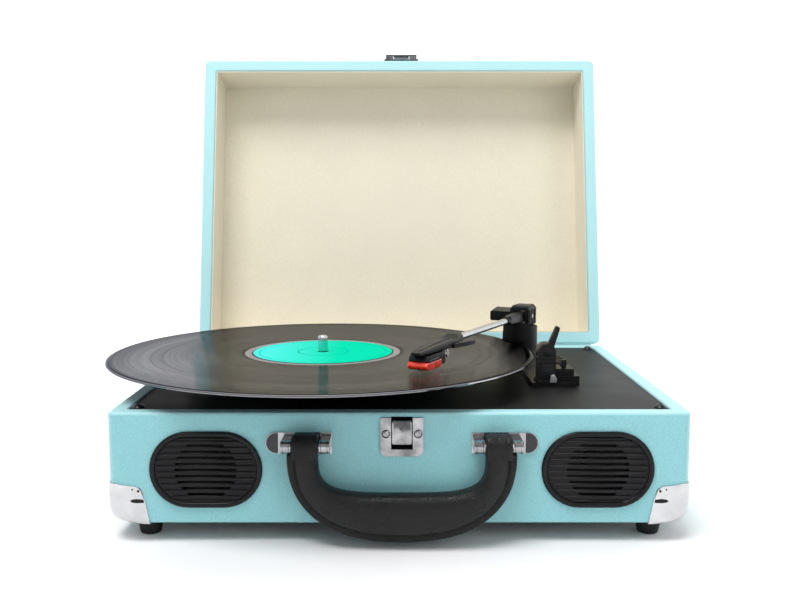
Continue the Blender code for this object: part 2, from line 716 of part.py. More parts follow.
def cue_lever():
    """The disc and arm that raise the tonearm, in a frame on their own axis."""
    x, z = LEVER_AXIS
    middle = sum(LEVER_Y) / 2
    half = (LEVER_Y[1] - LEVER_Y[0]) / 2
    axis = axis_empty("cue_lever_axis", (x, middle, z))
    lever = piece("cue_lever", rod(LEVER_DISC, 0, (-half, half), 0, 24, "Y"), "black_plastic", parent=axis)
    foot, tip = Vector((3.0, 3.4)), Vector((7.6, 16.0))
    along = (tip - foot).normalized()
    side = Vector((along.y, -along.x))
    points = [foot - side * 2.3, foot + side * 2.3]
    for angle in range(0, 181, 30):
        a = math.radians(angle)
        points.append(tip + (side * math.cos(a) + along * math.sin(a)) * 1.5)
    join(lever, side_prism([tuple(p) for p in points], -2.5, 2.5))
    cut(lever, rod(1.6, 0, (-9, 9), 0, 10, "Y"))


def slice_across(x, half, low, high, chamfer, middle=0.0):
    """An eight-sided slice across the arm."""
    c = chamfer
    ring = ((half, low + c), (half, high - c), (half - c, high), (c - half, high))
    ring += ((-half, high - c), (-half, low + c), (c - half, low), (half - c, low))
    return [(x, middle + a, b) for a, b in ring]


def arm_yoke(swing):
    """The block that turns with the arm, its post in the turret and the box on its left."""
    slices = ((-9.5, 8, 94.2, 109.6, 1.4), (-7.5, 8, 94.2, 111, 1.8))
    slices += ((7.5, 8, 94.2, 111, 1.8), (9.5, 8, 94.2, 109.6, 1.4))
    yoke = piece("arm_yoke", lofted([slice_across(*s) for s in slices]), "black_plastic", parent=swing)
    slices = ((-9.4, 10, 97, 107, 1.0), (-2, 10, 97, 106, 1.0), (4, 10, 97, 105, 1.0))
    join(yoke, lofted([slice_across(*s, middle=-17.5) for s in slices]))
    join(yoke, rod(4.0, 0, 0, (76, 95), 16, "Z"))
    cut(yoke, block((-12, 12), (-4.8, 4.8), (96.5, 107.5)))
    cut(yoke, rod(1.5, 0, (-7.0, 12), ARM_LEVEL, 10, "Y"))
    piece("lift_pin", rod(1.2, 0, (-6.7, 7.9), ARM_LEVEL, 10, "Y"), "steel", parent=swing)


def arm_neck(lift):
    c = ARM_LEVEL
    slices = ((-8.5, 4.2, 98, 106, 1.0), (14, 4.2, 98, 106, 1.0), (38, 3.5, 98.5, 105.5, 1.2))
    neck = piece("arm_neck", lofted([slice_across(*s) for s in slices]), "black_plastic", parent=lift)
    cut(neck, rod(1.6, 0, (-9, 9), c, 10, "Y"), rod(2.8, (28, 42), 0, c, 16))
    tube = [(1.9, 28.4), (TUBE_RADIUS, 28.4), (TUBE_RADIUS, 144), (1.9, 144)]
    barrel = moved(turned(tube, 16, bore=True), (0, 0, c), ("Y", 90))
    piece("arm_tube", barrel, "chrome", parent=lift)


def headshell(lift):
    """The shell at the front of the arm, its finger lift and ear, and the cartridge under it."""
    slices = ((136, 4.4, 98.2, 105.8, 1.8), (144, 5.4, 98.2, 105.8, 1.8), (150, 7.5, 98.8, 103.4, 0.8))
    slices += ((175, 6.2, 98.8, 103.0, 0.8), (198, 4.6, 98.8, 101.8, 0.8), (203, 3.8, 99.2, 101.2, 0.6))
    shell = piece("headshell", lofted([slice_across(*s) for s in slices]), "black_plastic", parent=lift)
    lift_strip = [(160, 4.0), (161, 8.6), (138, 13.6), (134, 12.6), (134, 10.4), (146, 4.0)]
    join(shell, prism(lift_strip, 98.9, 101.3))
    join(shell, prism([(148, -6), (148, -10), (151, -12), (158, -11), (158, -6)], 98.9, 100.4))
    cut(shell, rod(2.8, (120, 146), 0, ARM_LEVEL, 16))
    body = [(171, 90.4), (179.2, 90.2), (179.2, 93.7), (198, 94.0), (200, 95.4), (198, 98.5), (171, 98.5)]
    piece("cartridge", side_prism(body, -6.8, 6.8), "black_plastic", parent=lift)
    guard = [(179.5, 89.2), (194, 88.8), (199.5, 89.6), (201.2, 92.0), (199.6, 93.5), (179.5, 93.3)]
    stylus = piece("stylus", side_prism(guard, -7.0, 7.0), "stylus_red", parent=lift)
    needle = [[(x + 196.5, y, z) for x, y in circle(r, 6)] for r, z in ((0.9, 89.6), (0.3, 88.3))]
    join(stylus, lofted(needle))


def arm_lifter():
    """The curved bar under the arm, on its post, which the lever raises."""
    x, y = PIVOT_AT
    band = [*arc((x, y), 20.0, -151, -80, 12), *arc((x, y), 16.4, -80, -151, 12)]
    bar = piece("arm_lifter", prism(band, 83.2, 97.4), "black_plastic")
    join(bar, rod(1.8, *LIFTER_POST, (72, 90), 12, "Z"))


def arm():
    swing = axis_empty("tonearm_axis", (*PIVOT_AT, 0), ("Z", -90 - ARM_ANGLE))
    arm_base()
    arm_rest()
    cue_lever()
    arm_lifter()
    arm_yoke(swing)
    arm_neck(swing)
    headshell(swing)


# ---------------------------------------------------------------- controls and electronics


def rear_panel():
    """The plate over the opening at the back, with the knob, the inlet and two audio sockets."""
    plate = piece("rear_panel", block((-55, 55), (BACK + GAP, BACK + 1.9), (11, 57)), "black_plastic")
    join(plate, block((-49.6, 49.6), (BACK - 4, BACK + 1), (16.4, 51.6)))
    for x in (-14, 2):
        join(plate, rod(4.2, x, (BACK + 1, BACK + 8), 34, 14, "Y"))
    holes = [rod(1.8, x, (BACK + 3, BACK + 12), 34, 10, "Y") for x in (-14, 2)]
    holes.append(rod(3.4, 38, (BACK - 9, BACK + 6), 34, 14, "Y"))
    holes.append(rod(5.3, -40, (BACK - 9, BACK + 6), 34, 14, "Y"))
    cut(plate, *holes)
    inlet = [(2.6, 4.0), (6.6, 4.0), (6.6, 2.2), (5.0, 2.2), (5.0, -8), (2.6, -8)]
    inlet_mesh = moved(turned(inlet, 14, bore=True), turn=("X", -90))
    piece("power_inlet", inlet_mesh, "black_plastic", (-40, BACK, 34))
    knob = [(0, 12), (7.2, 12), (8.0, 11.2), (8.0, 2.3), (3.0, 2.3), (3.0, -10), (0, -10)]
    piece("volume_knob", moved(turned(knob, 20), turn=("X", -90)), "black_plastic", (38, BACK, 34))


def speed_switch():
    """A tab that slides in the console's slot."""
    switch = piece("speed_switch", block((113.5, 116.5), (-43.0, -39.0), (80.3, 86)), "black_plastic")
    join(switch, block((114.3, 115.7), (-42.6, -39.4), (76, 81)))


def amp_board():
    board = piece("amp_board", block((-45, 45), (72, 114), (12, 13.6)), "circuit")
    for x in (-40, 40):
        for y in (77, 109):
            join(board, rod(2.5, x, y, (BOTTOM_THICKNESS + GAP, 12.8), 8, "Z"))
    join(board, block((-18, 4), (80, 95), (13, 21)))
    join(board, rod(5, 22, 84, (13, 26), 12, "Z"), rod(5, 22, 100, (13, 26), 12, "Z"))


def clear_scene():
    for thing in list(bpy.data.objects):
        bpy.data.objects.remove(thing, do_unlink=True)


def main():
    clear_scene()
    base_case()
    bottom_panel()
    feet()
    base_corners()
    deck()
    grilles()
    speakers()
    latch()
    handle_brackets()
    handle()
    lid()
    turntable()
    motor_drive()
    arm()
    rear_panel()
    speed_switch()
    amp_board()


main()
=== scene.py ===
"""Looks of the suitcase record player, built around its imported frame."""

import json
from math import atan2, copysign, cos, pi, radians, sin, sqrt

import bmesh
import bpy
from mathutils import Matrix, Vector


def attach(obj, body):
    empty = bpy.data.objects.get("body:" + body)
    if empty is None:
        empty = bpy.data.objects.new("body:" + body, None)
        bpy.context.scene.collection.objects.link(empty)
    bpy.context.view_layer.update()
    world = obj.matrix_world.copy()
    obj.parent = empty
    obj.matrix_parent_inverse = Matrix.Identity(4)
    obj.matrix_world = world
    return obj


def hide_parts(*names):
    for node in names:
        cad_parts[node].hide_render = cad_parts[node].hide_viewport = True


MM = 0.001
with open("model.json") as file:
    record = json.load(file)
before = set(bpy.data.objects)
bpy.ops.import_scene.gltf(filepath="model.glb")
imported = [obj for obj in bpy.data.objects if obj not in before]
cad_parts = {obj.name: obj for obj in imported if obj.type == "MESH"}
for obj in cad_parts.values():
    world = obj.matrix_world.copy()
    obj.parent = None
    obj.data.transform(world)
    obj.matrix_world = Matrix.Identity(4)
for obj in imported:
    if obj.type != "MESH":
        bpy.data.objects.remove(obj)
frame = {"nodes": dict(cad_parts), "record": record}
SCENE = bpy.context.scene
NODES = frame["nodes"]
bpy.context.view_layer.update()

# Places in millimetres and angles in degrees, as in the CAD
FRONT, BACK = -130.0, 130.0
HALF_WIDTH, HALF_DEPTH = 178.0, 130.0
FITTINGS_X = 1.6
SPINDLE = (-55.3, -17.6)
RECORD_TOP = 88.0
PIVOT = (102.0, 77.5)
ARM_LEVEL = 102.0
HINGE = (0.0, 130.8, 69.3)
HANDLE_AXIS = (FITTINGS_X, -140.3, 50.6)
KNOB_AT = (38, BACK, 34)
FLOOR = -12.5
LID_LEAN = 12.6
LID_TURN = 90 + LID_LEAN
ARM_TURN = -116.9
SIDES = (("left", -1), ("right", 1))
CORNERS = (("front_left", -1, -1), ("front_right", 1, -1), ("rear_left", -1, 1), ("rear_right", 1, 1))

# Frames of the shut lid, the arm and the handle, in which their details are placed
ARM_FRAME = Matrix.Translation((*PIVOT, 0)) @ Matrix.Rotation(radians(ARM_TURN), 4, "Z")
FRAMES = {
    "lid": Matrix.Translation(HINGE) @ Matrix.Rotation(radians(-LID_TURN), 4, "X"),
    "yoke": ARM_FRAME,
    "tonearm": ARM_FRAME,
    "grip": Matrix.Translation(HANDLE_AXIS),
}

# Linear colours used twice or by name
TEAL = (0.280, 0.612, 0.650)
# Paler teal of the painted highlight on the case's edges and the lid's rim
EDGE_HIGHLIGHT_TEAL = (0.56, 0.86, 0.88)
FLOOR_WHITE = (0.93, 0.93, 0.935)


# ---- camera, lights, floor


def add_object(name, data):
    made = bpy.data.objects.new(name, data)
    SCENE.collection.objects.link(made)
    return made


def camera():
    data = bpy.data.cameras.new("camera")
    data.sensor_width = 36
    data.lens = 41.72
    data.clip_start = 0.01
    eye = add_object("camera", data)
    eye.location = (0.00044, -0.6811, 0.1988)
    eye.rotation_euler = (radians(90 - 6.32), 0, 0)
    SCENE.camera = eye


def area_light(name, at, aim, size, power, tint=(1, 1, 1)):
    data = bpy.data.lights.new(name, "AREA")
    data.shape = "RECTANGLE"
    data.size, data.size_y = size
    data.energy = power
    data.color = tint
    lamp = add_object(name, data)
    lamp.location = at
    lamp.rotation_euler = (Vector(aim) - Vector(at)).to_track_quat("-Z", "Y").to_euler()


def lights():
    world = bpy.data.worlds.new("studio")
    SCENE.world = world
    world.use_nodes = True
    sky = world.node_tree.nodes["Background"]
    sky.inputs["Color"].default_value = (0.97, 0.98, 1.0, 1)
    sky.inputs["Strength"].default_value = 0.22
    area_light("key", (-0.45, -0.85, 2.15), (0, 0, 0.1), (1.1, 1.1), 41)
    area_light("fill", (1.2, -1.5, 0.9), (0, 0, 0.1), (0.7, 1.0), 5)
    area_light("top", (0.0, 0.5, 1.7), (0, 0, 0.1), (1.6, 0.9), 6)
    area_light("side", (1.4, 0.2, 0.6), (0.1, 0, 0.05), (0.5, 1.2), 3)
    SCENE.view_settings.view_transform = "Standard"


def floor():
    """A pale table that curves up into a round wall, and glows more the further away, mostly behind."""
    radius, bend, high = 3.4, 1.0, 7.0
    z = FLOOR * MM - 0.0002
    curve = [radians(90 * k / 12) for k in range(13)]
    path = [(0, z)]
    path += [(radius + bend * sin(a), z + bend * (1 - cos(a))) for a in curve]
    path.append((radius + bend, high))
    bm = lathe(path, 96)
    mesh = bpy.data.meshes.new("floor")
    bm.to_mesh(mesh)
    bm.free()
    mesh.shade_smooth()
    table = add_object("floor", mesh)
    made = Shader("floor", FLOOR_WHITE, 0.9)
    made.set("Emission Color", (1, 1, 1, 1))
    away = made.length(made.place())
    depth = made.add("SeparateXYZ", {0: made.place()}).outputs["Y"]
    behind = made.levels(made.math("DIVIDE", depth, away), 0.1, 0.75, 0.12, 1.0)
    glow = made.times(made.levels(away, 0.25, 1.4, 0.04, 0.85), behind)
    made.colour(made.levels(away, 0.9, 2.2), FLOOR_WHITE, (0.55, 0.55, 0.56))
    made.tree.links.new(glow, made.main.inputs["Emission Strength"])
    table.data.materials.append(made.material)


# ---- materials


LOOKS = {}


class Shader:
    """A Principled material, kept in LOOKS, with short ways to add the nodes it needs."""

    def __init__(self, name, colour, rough, metallic=0.0):
        self.material = bpy.data.materials.new(name)
        self.material.use_nodes = True
        LOOKS[name] = self.material
        self.tree = self.material.node_tree
        self.main = self.tree.nodes["Principled BSDF"]
        self.set("Base Color", (*colour, 1))
        self.set("Roughness", rough)
        self.set("Metallic", metallic)
        self.normal = None

    def set(self, socket, value):
        self.main.inputs[socket].default_value = value

    def add(self, kind, inputs=(), **options):
        """A node, with its options set and its inputs given by name as values or as outputs."""
        node = self.tree.nodes.new(f"ShaderNode{kind}")
        for key, value in options.items():
            setattr(node, key, value)
        for key, value in dict(inputs).items():
            if isinstance(value, bpy.types.NodeSocket):
                self.tree.links.new(value, node.inputs[key])
            else:
                node.inputs[key].default_value = value
        return node

    def place(self, scale=(1, 1, 1), shift=(0, 0, 0), turn=(0, 0, 0)):
        """Object coordinates in metres, moved, turned and scaled."""
        here = self.add("TexCoord").outputs["Object"]
        shifted = self.add("VectorMath", {0: here, 1: shift}, operation="SUBTRACT").outputs[0]
        angles = [radians(a) for a in turn]
        mapping = self.add("Mapping", {"Vector": shifted, "Rotation": angles, "Scale": scale})
        return mapping.outputs[0]

    def noise(self, scale, detail=3.0, where=None, rough=0.5):
        where = where or self.place()
        values = {"Vector": where, "Scale": scale, "Detail": detail, "Roughness": rough}
        return self.add("TexNoise", values).outputs["Fac"]

    def cells(self, scale, feature="F1", where=None, smooth=None):
        where = where or self.place()
        node = self.add("TexVoronoi", {"Vector": where, "Scale": scale}, feature=feature)
        if smooth is not None:
            node.inputs["Smoothness"].default_value = smooth
        return node.outputs["Distance"]

    def wave(self, scale, axis, where=None, distortion=0.0, detail=0.0, detail_scale=1.0):
        where = where or self.place()
        values = {"Vector": where, "Scale": scale, "Distortion": distortion}
        values.update({"Detail": detail, "Detail Scale": detail_scale})
        node = self.add("TexWave", values, bands_direction=axis)
        return node.outputs["Fac"]

    def math(self, operation, a, b=0.0):
        return self.add("Math", {0: a, 1: b}, operation=operation).outputs[0]

    def times(self, a, b):
        return self.math("MULTIPLY", a, b)

    def length(self, where):
        return self.add("VectorMath", {0: where}, operation="LENGTH").outputs["Value"]

    def levels(self, value, low, high, to_low=0.0, to_high=1.0):
        values = {"Value": value, "From Min": low, "From Max": high, "To Min": to_low, "To Max": to_high}
        return self.add("MapRange", values).outputs[0]

    def blend(self, amount, a, b):
        node = self.add("Mix", data_type="RGBA")
        for index, value in ((0, amount), (6, a), (7, b)):
            if isinstance(value, bpy.types.NodeSocket):
                self.tree.links.new(value, node.inputs[index])
            else:
                node.inputs[index].default_value = value if index == 0 else (*value, 1)
        return node.outputs[2]

    def colour(self, amount, a, b):
        self.tree.links.new(self.blend(amount, a, b), self.main.inputs["Base Color"])

    def rough(self, output):
        self.tree.links.new(output, self.main.inputs["Roughness"])

    def bump(self, height, strength, depth):
        values = {"Height": height, "Strength": strength, "Distance": depth}
        if self.normal:
            values["Normal"] = self.normal
        self.normal = self.add("Bump", values).outputs[0]
        self.tree.links.new(self.normal, self.main.inputs["Normal"])


def shade(colour, factor):
    return tuple(c * factor for c in colour)


def grey(level):
    return (level, level, level)


def leatherette():
    """Grained covering: pebbles with fine creases, with painted highlight on the pebbles' tops, along the
    base's top edge and ends, and on the lid's rim.
    """
    made = Shader("leatherette", TEAL, 0.48)
    pebbles = made.cells(1150, "SMOOTH_F1", smooth=0.35)
    creases = made.noise(2600, 2)
    patches = made.noise(14, 3)
    grain = made.math("ADD", made.times(pebbles, -1.0), made.times(creases, 0.35))
    # Painted highlight and shade in the grain: pebble tops lighter and their edges darker, mixed with random
    # patches of tone
    tone = made.math("ADD", made.levels(pebbles, 0.1, 0.75, 1.0, 0.0), made.times(patches, 0.9))
    body = made.blend(made.levels(tone, 0.4, 1.6), shade(TEAL, 0.88), shade(TEAL, 1.08))
    # Painted highlight: the base's top edge, its ends and the lid's rim are lightened towards a paler teal,
    # as if caught by the light
    there = made.add("SeparateXYZ", {0: made.place()}).outputs
    rim = made.levels(there["Z"], 0.0672, 0.0686)
    corner = made.levels(made.math("ABSOLUTE", there["X"]), 0.1745, 0.1772)
    low = made.levels(there["Z"], 0.070, 0.071, 1.0, 0.0)
    base_edges_lit = made.times(made.math("MAXIMUM", rim, corner), low)
    in_lid = made.place(shift=[place * MM for place in HINGE], turn=(LID_TURN, 0, 0))
    depth = made.add("SeparateXYZ", {0: in_lid}).outputs["Z"]
    lid_rim_lit = made.times(made.levels(depth, 0.0045, 0.0025), made.math("SUBTRACT", 1.0, low))
    painted_edge_highlight = made.math("MAXIMUM", made.times(base_edges_lit, 0.5), made.times(lid_rim_lit, 0.6))
    made.colour(painted_edge_highlight, body, EDGE_HIGHLIGHT_TEAL)
    made.rough(made.levels(patches, 0.3, 0.7, 0.42, 0.54))
    made.bump(made.noise(55, 2), 0.12, 0.0012)
    made.bump(grain, 0.30, 0.00035)
    made.set("Specular IOR Level", 0.45)


def lining_cloth():
    """Cream cloth: a fine plain weave, slightly mottled."""
    base = (0.83, 0.775, 0.63)
    made = Shader("lining", base, 0.9)
    level = made.place(turn=(LID_LEAN, 0, 0))
    across, up, deep = [made.wave(900, axis, level, 0.8, 1.0, 2.0) for axis in "XZY"]
    weave = made.times(across, made.math("MAXIMUM", up, deep))
    mottle = made.noise(26, 4)
    slub = made.noise(500, 3)
    tone = made.math("ADD", made.times(mottle, 0.4), made.times(slub, 0.7))
    made.colour(made.levels(tone, 0.3, 0.8), shade(base, 0.94), shade(base, 1.04))
    made.bump(weave, 0.35, 0.00022)
    made.bump(made.noise(900, 3), 0.15, 0.0002)
    made.set("Sheen Weight", 0.15)
    made.set("Specular IOR Level", 0.2)


def moulded(name, colour, rough=0.4, grain=0.18, scale=2400, coat=0.0):
    """Moulded plastic or rubber with a spark-eroded grain."""
    made = Shader(name, colour, rough)
    fine = made.noise(scale, 2)
    wide = made.noise(60, 3)
    made.colour(wide, shade(colour, 0.8), shade(colour, 1.25))
    made.rough(made.levels(wide, 0.3, 0.7, rough - 0.05, rough + 0.06))
    made.bump(fine, grain, 0.00012)
    made.set("Specular IOR Level", 0.25)
    if coat:
        made.set("Coat Weight", coat)
        made.set("Coat Roughness", 0.12)


def plated(name, colour, rough, wear=0.10, ripple=0.10, painted_reflection_dark=0.82):
    """Polished plate with faint hairlines, a slightly uneven surface, rougher patches, and painted dark
    reflections in its colour.
    """
    made = Shader(name, colour, rough, 1.0)
    smears_and_painted_reflections = made.math("ADD", made.noise(120, 4), made.noise(22, 1, made.place(scale=(1, 1, 0.2))))
    smears_and_painted_reflections = made.times(smears_and_painted_reflections, 0.5)
    lines = made.noise(400, 3, made.place(scale=(1, 6, 9)))
    # Painted reflections: the noise darkens the colour in streaks, standing in for dark surroundings
    # mirrored in the plate
    made.colour(made.levels(smears_and_painted_reflections, 0.35, 0.65), shade(colour, painted_reflection_dark), shade(colour, 1.08))
    made.rough(made.levels(smears_and_painted_reflections, 0.3, 0.7, rough, rough + wear))
    made.bump(lines, 0.05, 0.0001)
    made.bump(made.noise(45, 2), ripple, 0.0006)


def brushed(name, colour, rough=0.32):
    made = Shader(name, colour, rough, 1.0)
    lines = made.noise(300, 4, made.place(scale=(1, 14, 1)))
    made.colour(lines, shade(colour, 0.8), shade(colour, 1.1))
    made.rough(made.levels(lines, 0.2, 0.8, rough - 0.08, rough + 0.12))
    made.bump(lines, 0.12, 0.0002)


def handle_grain():
    """Black moulding with a leather grain: creased cells of uneven size, with painted shade darkening the
    creases and lighter cell tops.
    """
    colour = grey(0.006)
    made = Shader("handle_grain", colour, 0.42)
    creases = made.cells(760, "DISTANCE_TO_EDGE")
    pebbles = made.levels(creases, 0.0, 0.10)
    fine = made.noise(3000, 2)
    patches = made.noise(40, 3)
    # Painted shade: the colour darkens in the creases between cells and lightens on their tops
    made.colour(pebbles, shade(colour, 0.5), shade(colour, 1.5))
    made.rough(made.levels(patches, 0.3, 0.7, 0.36, 0.5))
    made.bump(pebbles, 0.85, 0.0004)
    made.bump(fine, 0.15, 0.0001)
    made.set("Specular IOR Level", 0.36)


def from_spindle(made, scale=(1, 1, 1)):
    return made.place(scale=scale, shift=(SPINDLE[0] * MM, SPINDLE[1] * MM, 0))


def radius_from_spindle(made):
    return made.length(from_spindle(made, (1, 1, 0)))


def vinyl():
    """Pressed grooves, with the quieter and louder bands of the music and smooth gaps between."""
    made = Shader("record_vinyl", (0.10, 0.10, 0.11), 0.2, 1.0)
    radius = radius_from_spindle(made)
    ring = made.add("CombineXYZ", {"X": radius}).outputs[0]
    grooves = made.wave(300, "X", ring)
    music = made.noise(260, 5, ring, 0.7)
    loud = made.noise(45, 2, ring)
    gap = made.math("PINGPONG", made.math("ADD", radius, 0.004), 0.0125)
    smooth_gap = made.levels(gap, 0.0, 0.0006, 1.0, 0.0)
    past_label, before_rim = made.levels(radius, 0.058, 0.0585), made.levels(radius, 0.1463, 0.1467, 1, 0)
    grooved = made.times(past_label, before_rim)
    cut = made.times(grooved, made.math("SUBTRACT", 1.0, smooth_gap))
    tone = made.times(cut, made.levels(made.math("ADD", music, loud), 0.7, 1.4))
    bead = made.levels(radius, 0.1496, 0.1499)
    body = made.blend(tone, (0.030, 0.030, 0.031), (0.130, 0.130, 0.133))
    made.colour(bead, body, (0.30, 0.30, 0.31))
    made.rough(made.math("ADD", 0.06, made.times(cut, made.levels(loud, 0.3, 0.7, 0.06, 0.14))))
    height = made.times(cut, made.math("ADD", grooves, made.times(music, 0.8)))
    made.bump(height, 0.34, 0.00014)
    edge_on = made.blend(tone, (0.36, 0.365, 0.385), (0.72, 0.725, 0.75))
    made.tree.links.new(edge_on, made.main.inputs["Specular Tint"])


def label_paper():
    """Green printed paper with two thin dark rings, and a painted sheen of lighter blue-green on its left.
    """
    green, painted_sheen_cyan, deep = (0.004, 0.60, 0.36), (0.07, 0.68, 0.62), (0.004, 0.42, 0.30)
    made = Shader("label_paper", green, 0.5)
    made.set("Specular IOR Level", 0.0)
    radius = radius_from_spindle(made)
    side = made.add("SeparateXYZ", {0: from_spindle(made)}).outputs["X"]
    # Painted sheen: the colour turns blue-green towards the label's left side
    body = made.blend(made.levels(side, 0.012, -0.040), green, painted_sheen_cyan)
    rings = []
    for at, solid, faded in ((0.0455, 0.0002, 0.0005), (0.0180, 0.0004, 0.0007)):
        away = made.math("ABSOLUTE", made.math("SUBTRACT", radius, at))
        rings.append(made.math("SUBTRACT", 1.0, made.levels(away, solid, faded)))
    made.colour(made.math("MAXIMUM", *rings), body, deep)
    made.bump(made.noise(1800, 3), 0.12, 0.0001)
    made.rough(made.levels(made.noise(300, 2), 0.3, 0.7, 0.32, 0.44))


def stylus_red():
    made = Shader("stylus_red", (0.80, 0.035, 0.015), 0.28)
    cloud = made.noise(180, 3)
    made.colour(cloud, (0.66, 0.022, 0.012), (0.92, 0.07, 0.02))
    made.bump(made.noise(1500, 2), 0.08, 0.0001)
    made.rough(made.levels(cloud, 0.3, 0.7, 0.22, 0.34))
    made.set("Subsurface Weight", 0.25)
    made.set("Subsurface Scale", 0.002)
    made.set("Subsurface Radius", (1.0, 0.2, 0.1))
    made.set("Coat Weight", 0.4)


def felt():
    made = Shader("mat_felt", grey(0.02), 0.95)
    fibre = made.noise(2400, 4)
    made.colour(fibre, grey(0.008), grey(0.05))
    made.bump(fibre, 0.5, 0.0003)
    made.set("Sheen Weight", 0.4)


def fibreboard():
    made = Shader("bottom_board", (0.05, 0.042, 0.036), 0.75)
    chips = made.cells(240)
    made.colour(chips, (0.030, 0.026, 0.022), (0.085, 0.07, 0.058))
    made.bump(made.noise(700, 4), 0.25, 0.0003)


def deck_paint():
    made = Shader("deck_paint", grey(0.010), 0.5)
    made.set("Specular IOR Level", 0.10)
    grain = made.noise(1500, 4)
    wide = made.noise(18, 3)
    made.colour(wide, grey(0.009), grey(0.018))
    made.rough(made.levels(wide, 0.3, 0.7, 0.42, 0.52))
    made.bump(grain, 0.28, 0.00025)


def circuit():
    made = Shader("circuit_board", (0.02, 0.14, 0.05), 0.4)
    tracks = made.cells(260, "DISTANCE_TO_EDGE")
    made.colour(made.levels(tracks, 0.02, 0.05), (0.05, 0.26, 0.10), (0.015, 0.11, 0.04))
    made.bump(made.levels(tracks, 0.02, 0.05), 0.2, 0.0001)


def cone_paper():
    made = Shader("cone_paper", grey(0.03), 0.85)
    fibre = made.noise(900, 4)
    made.colour(fibre, grey(0.015), grey(0.05))
    made.bump(fibre, 0.35, 0.0003)


def make_looks():
    """Every look. Those named after the record's slots also go to the CAD nodes."""
    leatherette()
    lining_cloth()
    fibreboard()
    moulded("foot_rubber", grey(0.012), 0.55, 0.3, 1500)
    plated("corner_metal", (0.66, 0.66, 0.67), 0.13, ripple=0.35)
    deck_paint()
    moulded("screw_black", (0.012, 0.012, 0.013), 0.28, 0.1, 1500, 0.3)
    moulded("grille_plastic", (0.005, 0.005, 0.006), 0.34, 0.15, 2200)
    brushed("basket_steel", (0.10, 0.10, 0.11), 0.45)
    cone_paper()
    # The latch plate gets the strongest painted dark reflections
    plated("latch_chrome", (0.46, 0.46, 0.47), 0.07, ripple=0.8, painted_reflection_dark=0.22)
    plated("bracket_chrome", (0.40, 0.40, 0.41), 0.12)
    handle_grain()
    brushed("hinge_steel", (0.62, 0.62, 0.64), 0.28)
    brushed("bearing_metal", (0.55, 0.55, 0.56), 0.25)
    plated("spindle_chrome", (0.80, 0.80, 0.82), 0.22)
    moulded("platter_plastic", (0.014, 0.014, 0.015), 0.42, 0.2, 1800)
    felt()
    vinyl()
    brushed("motor_steel", (0.45, 0.45, 0.46), 0.35)
    brushed("pulley_brass", (0.72, 0.52, 0.22), 0.25)
    moulded("belt_rubber", grey(0.012), 0.6, 0.2, 1200)
    moulded("arm_plastic", (0.007, 0.007, 0.008), 0.38, 0.16, 2600)
    moulded("cartridge_plastic", (0.008, 0.008, 0.009), 0.25, 0.08, 2600, 0.3)
    stylus_red()
    moulded("rear_plastic", (0.012, 0.012, 0.013), 0.42, 0.25, 1800)
    circuit()
    # Small trim that differs from its slot
    label_paper()
    moulded("label_ring", (0.20, 0.19, 0.20), 0.35, 0.05, 900)
    brushed("bracket_dark", (0.065, 0.065, 0.07), 0.38)
    moulded("arm_plastic_light", (0.035, 0.035, 0.037), 0.42, 0.2, 2200)
    brushed("tube_silver", (0.62, 0.62, 0.63), 0.26)
    moulded("terminal_white", (0.75, 0.75, 0.73), 0.4, 0.1, 2000)
    moulded("wire_white", (0.80, 0.80, 0.78), 0.4, 0.05, 2000)
    plated("wire_silver", grey(0.8), 0.2)
    moulded("socket_red", (0.45, 0.01, 0.01), 0.4, 0.1, 2000)
    moulded("socket_white", (0.7, 0.7, 0.68), 0.4, 0.1, 2000)
    for entry in frame["record"]["subparts"]:
        mesh = NODES[entry["node"]].data
        mesh.materials.clear()
        mesh.materials.append(LOOKS[entry["material_slot"]])


# ---- mesh helpers


def piece(name, bm, slot, body="case", replaces=(), look=None, smooth=35, bevel=0.0):
    """A finished piece, made in its body's frame, with its slot's look or another one."""
    if body in FRAMES:
        bm.transform(FRAMES[body])
    bm.transform(Matrix.Scale(MM, 4))
    bmesh.ops.recalc_face_normals(bm, faces=bm.faces)
    if bm.calc_volume(signed=True) < 0:
        bmesh.ops.reverse_faces(bm, faces=bm.faces)
    mesh = bpy.data.meshes.new(name)
    bm.to_mesh(mesh)
    bm.free()
    mesh.shade_smooth()
    mesh.set_sharp_from_angle(angle=radians(smooth))
    mesh.materials.append(LOOKS[look or slot])
    made = add_object(name, mesh)
    if bevel:
        edge = made.modifiers.new("Bevel", "BEVEL")
        edge.width = bevel * MM
        edge.segments = 3
        edge.limit_method = "ANGLE"
        edge.angle_limit = radians(32)
        edge.harden_normals = True
    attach(made, body)
    if replaces:
        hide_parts(*replaces)
    return made


def clamp(value, low, high):
    return min(max(value, low), high)


def loft(loops, closed=False):
    """A skin over loops of equal length, capped at both ends or joined into a ring."""
    bm = bmesh.new()
    rings = [[bm.verts.new(p) for p in loop] for loop in loops]
    count = len(rings[0])
    pairs = list(zip(rings, rings[1:]))
    if closed:
        pairs.append((rings[-1], rings[0]))
    for low, high in pairs:
        for i in range(count):
            j = (i + 1) % count
            bm.faces.new((low[i], low[j], high[j], high[i]))
    if not closed:
        bm.faces.new(rings[0][::-1])
        bm.faces.new(rings[-1])
    return bm


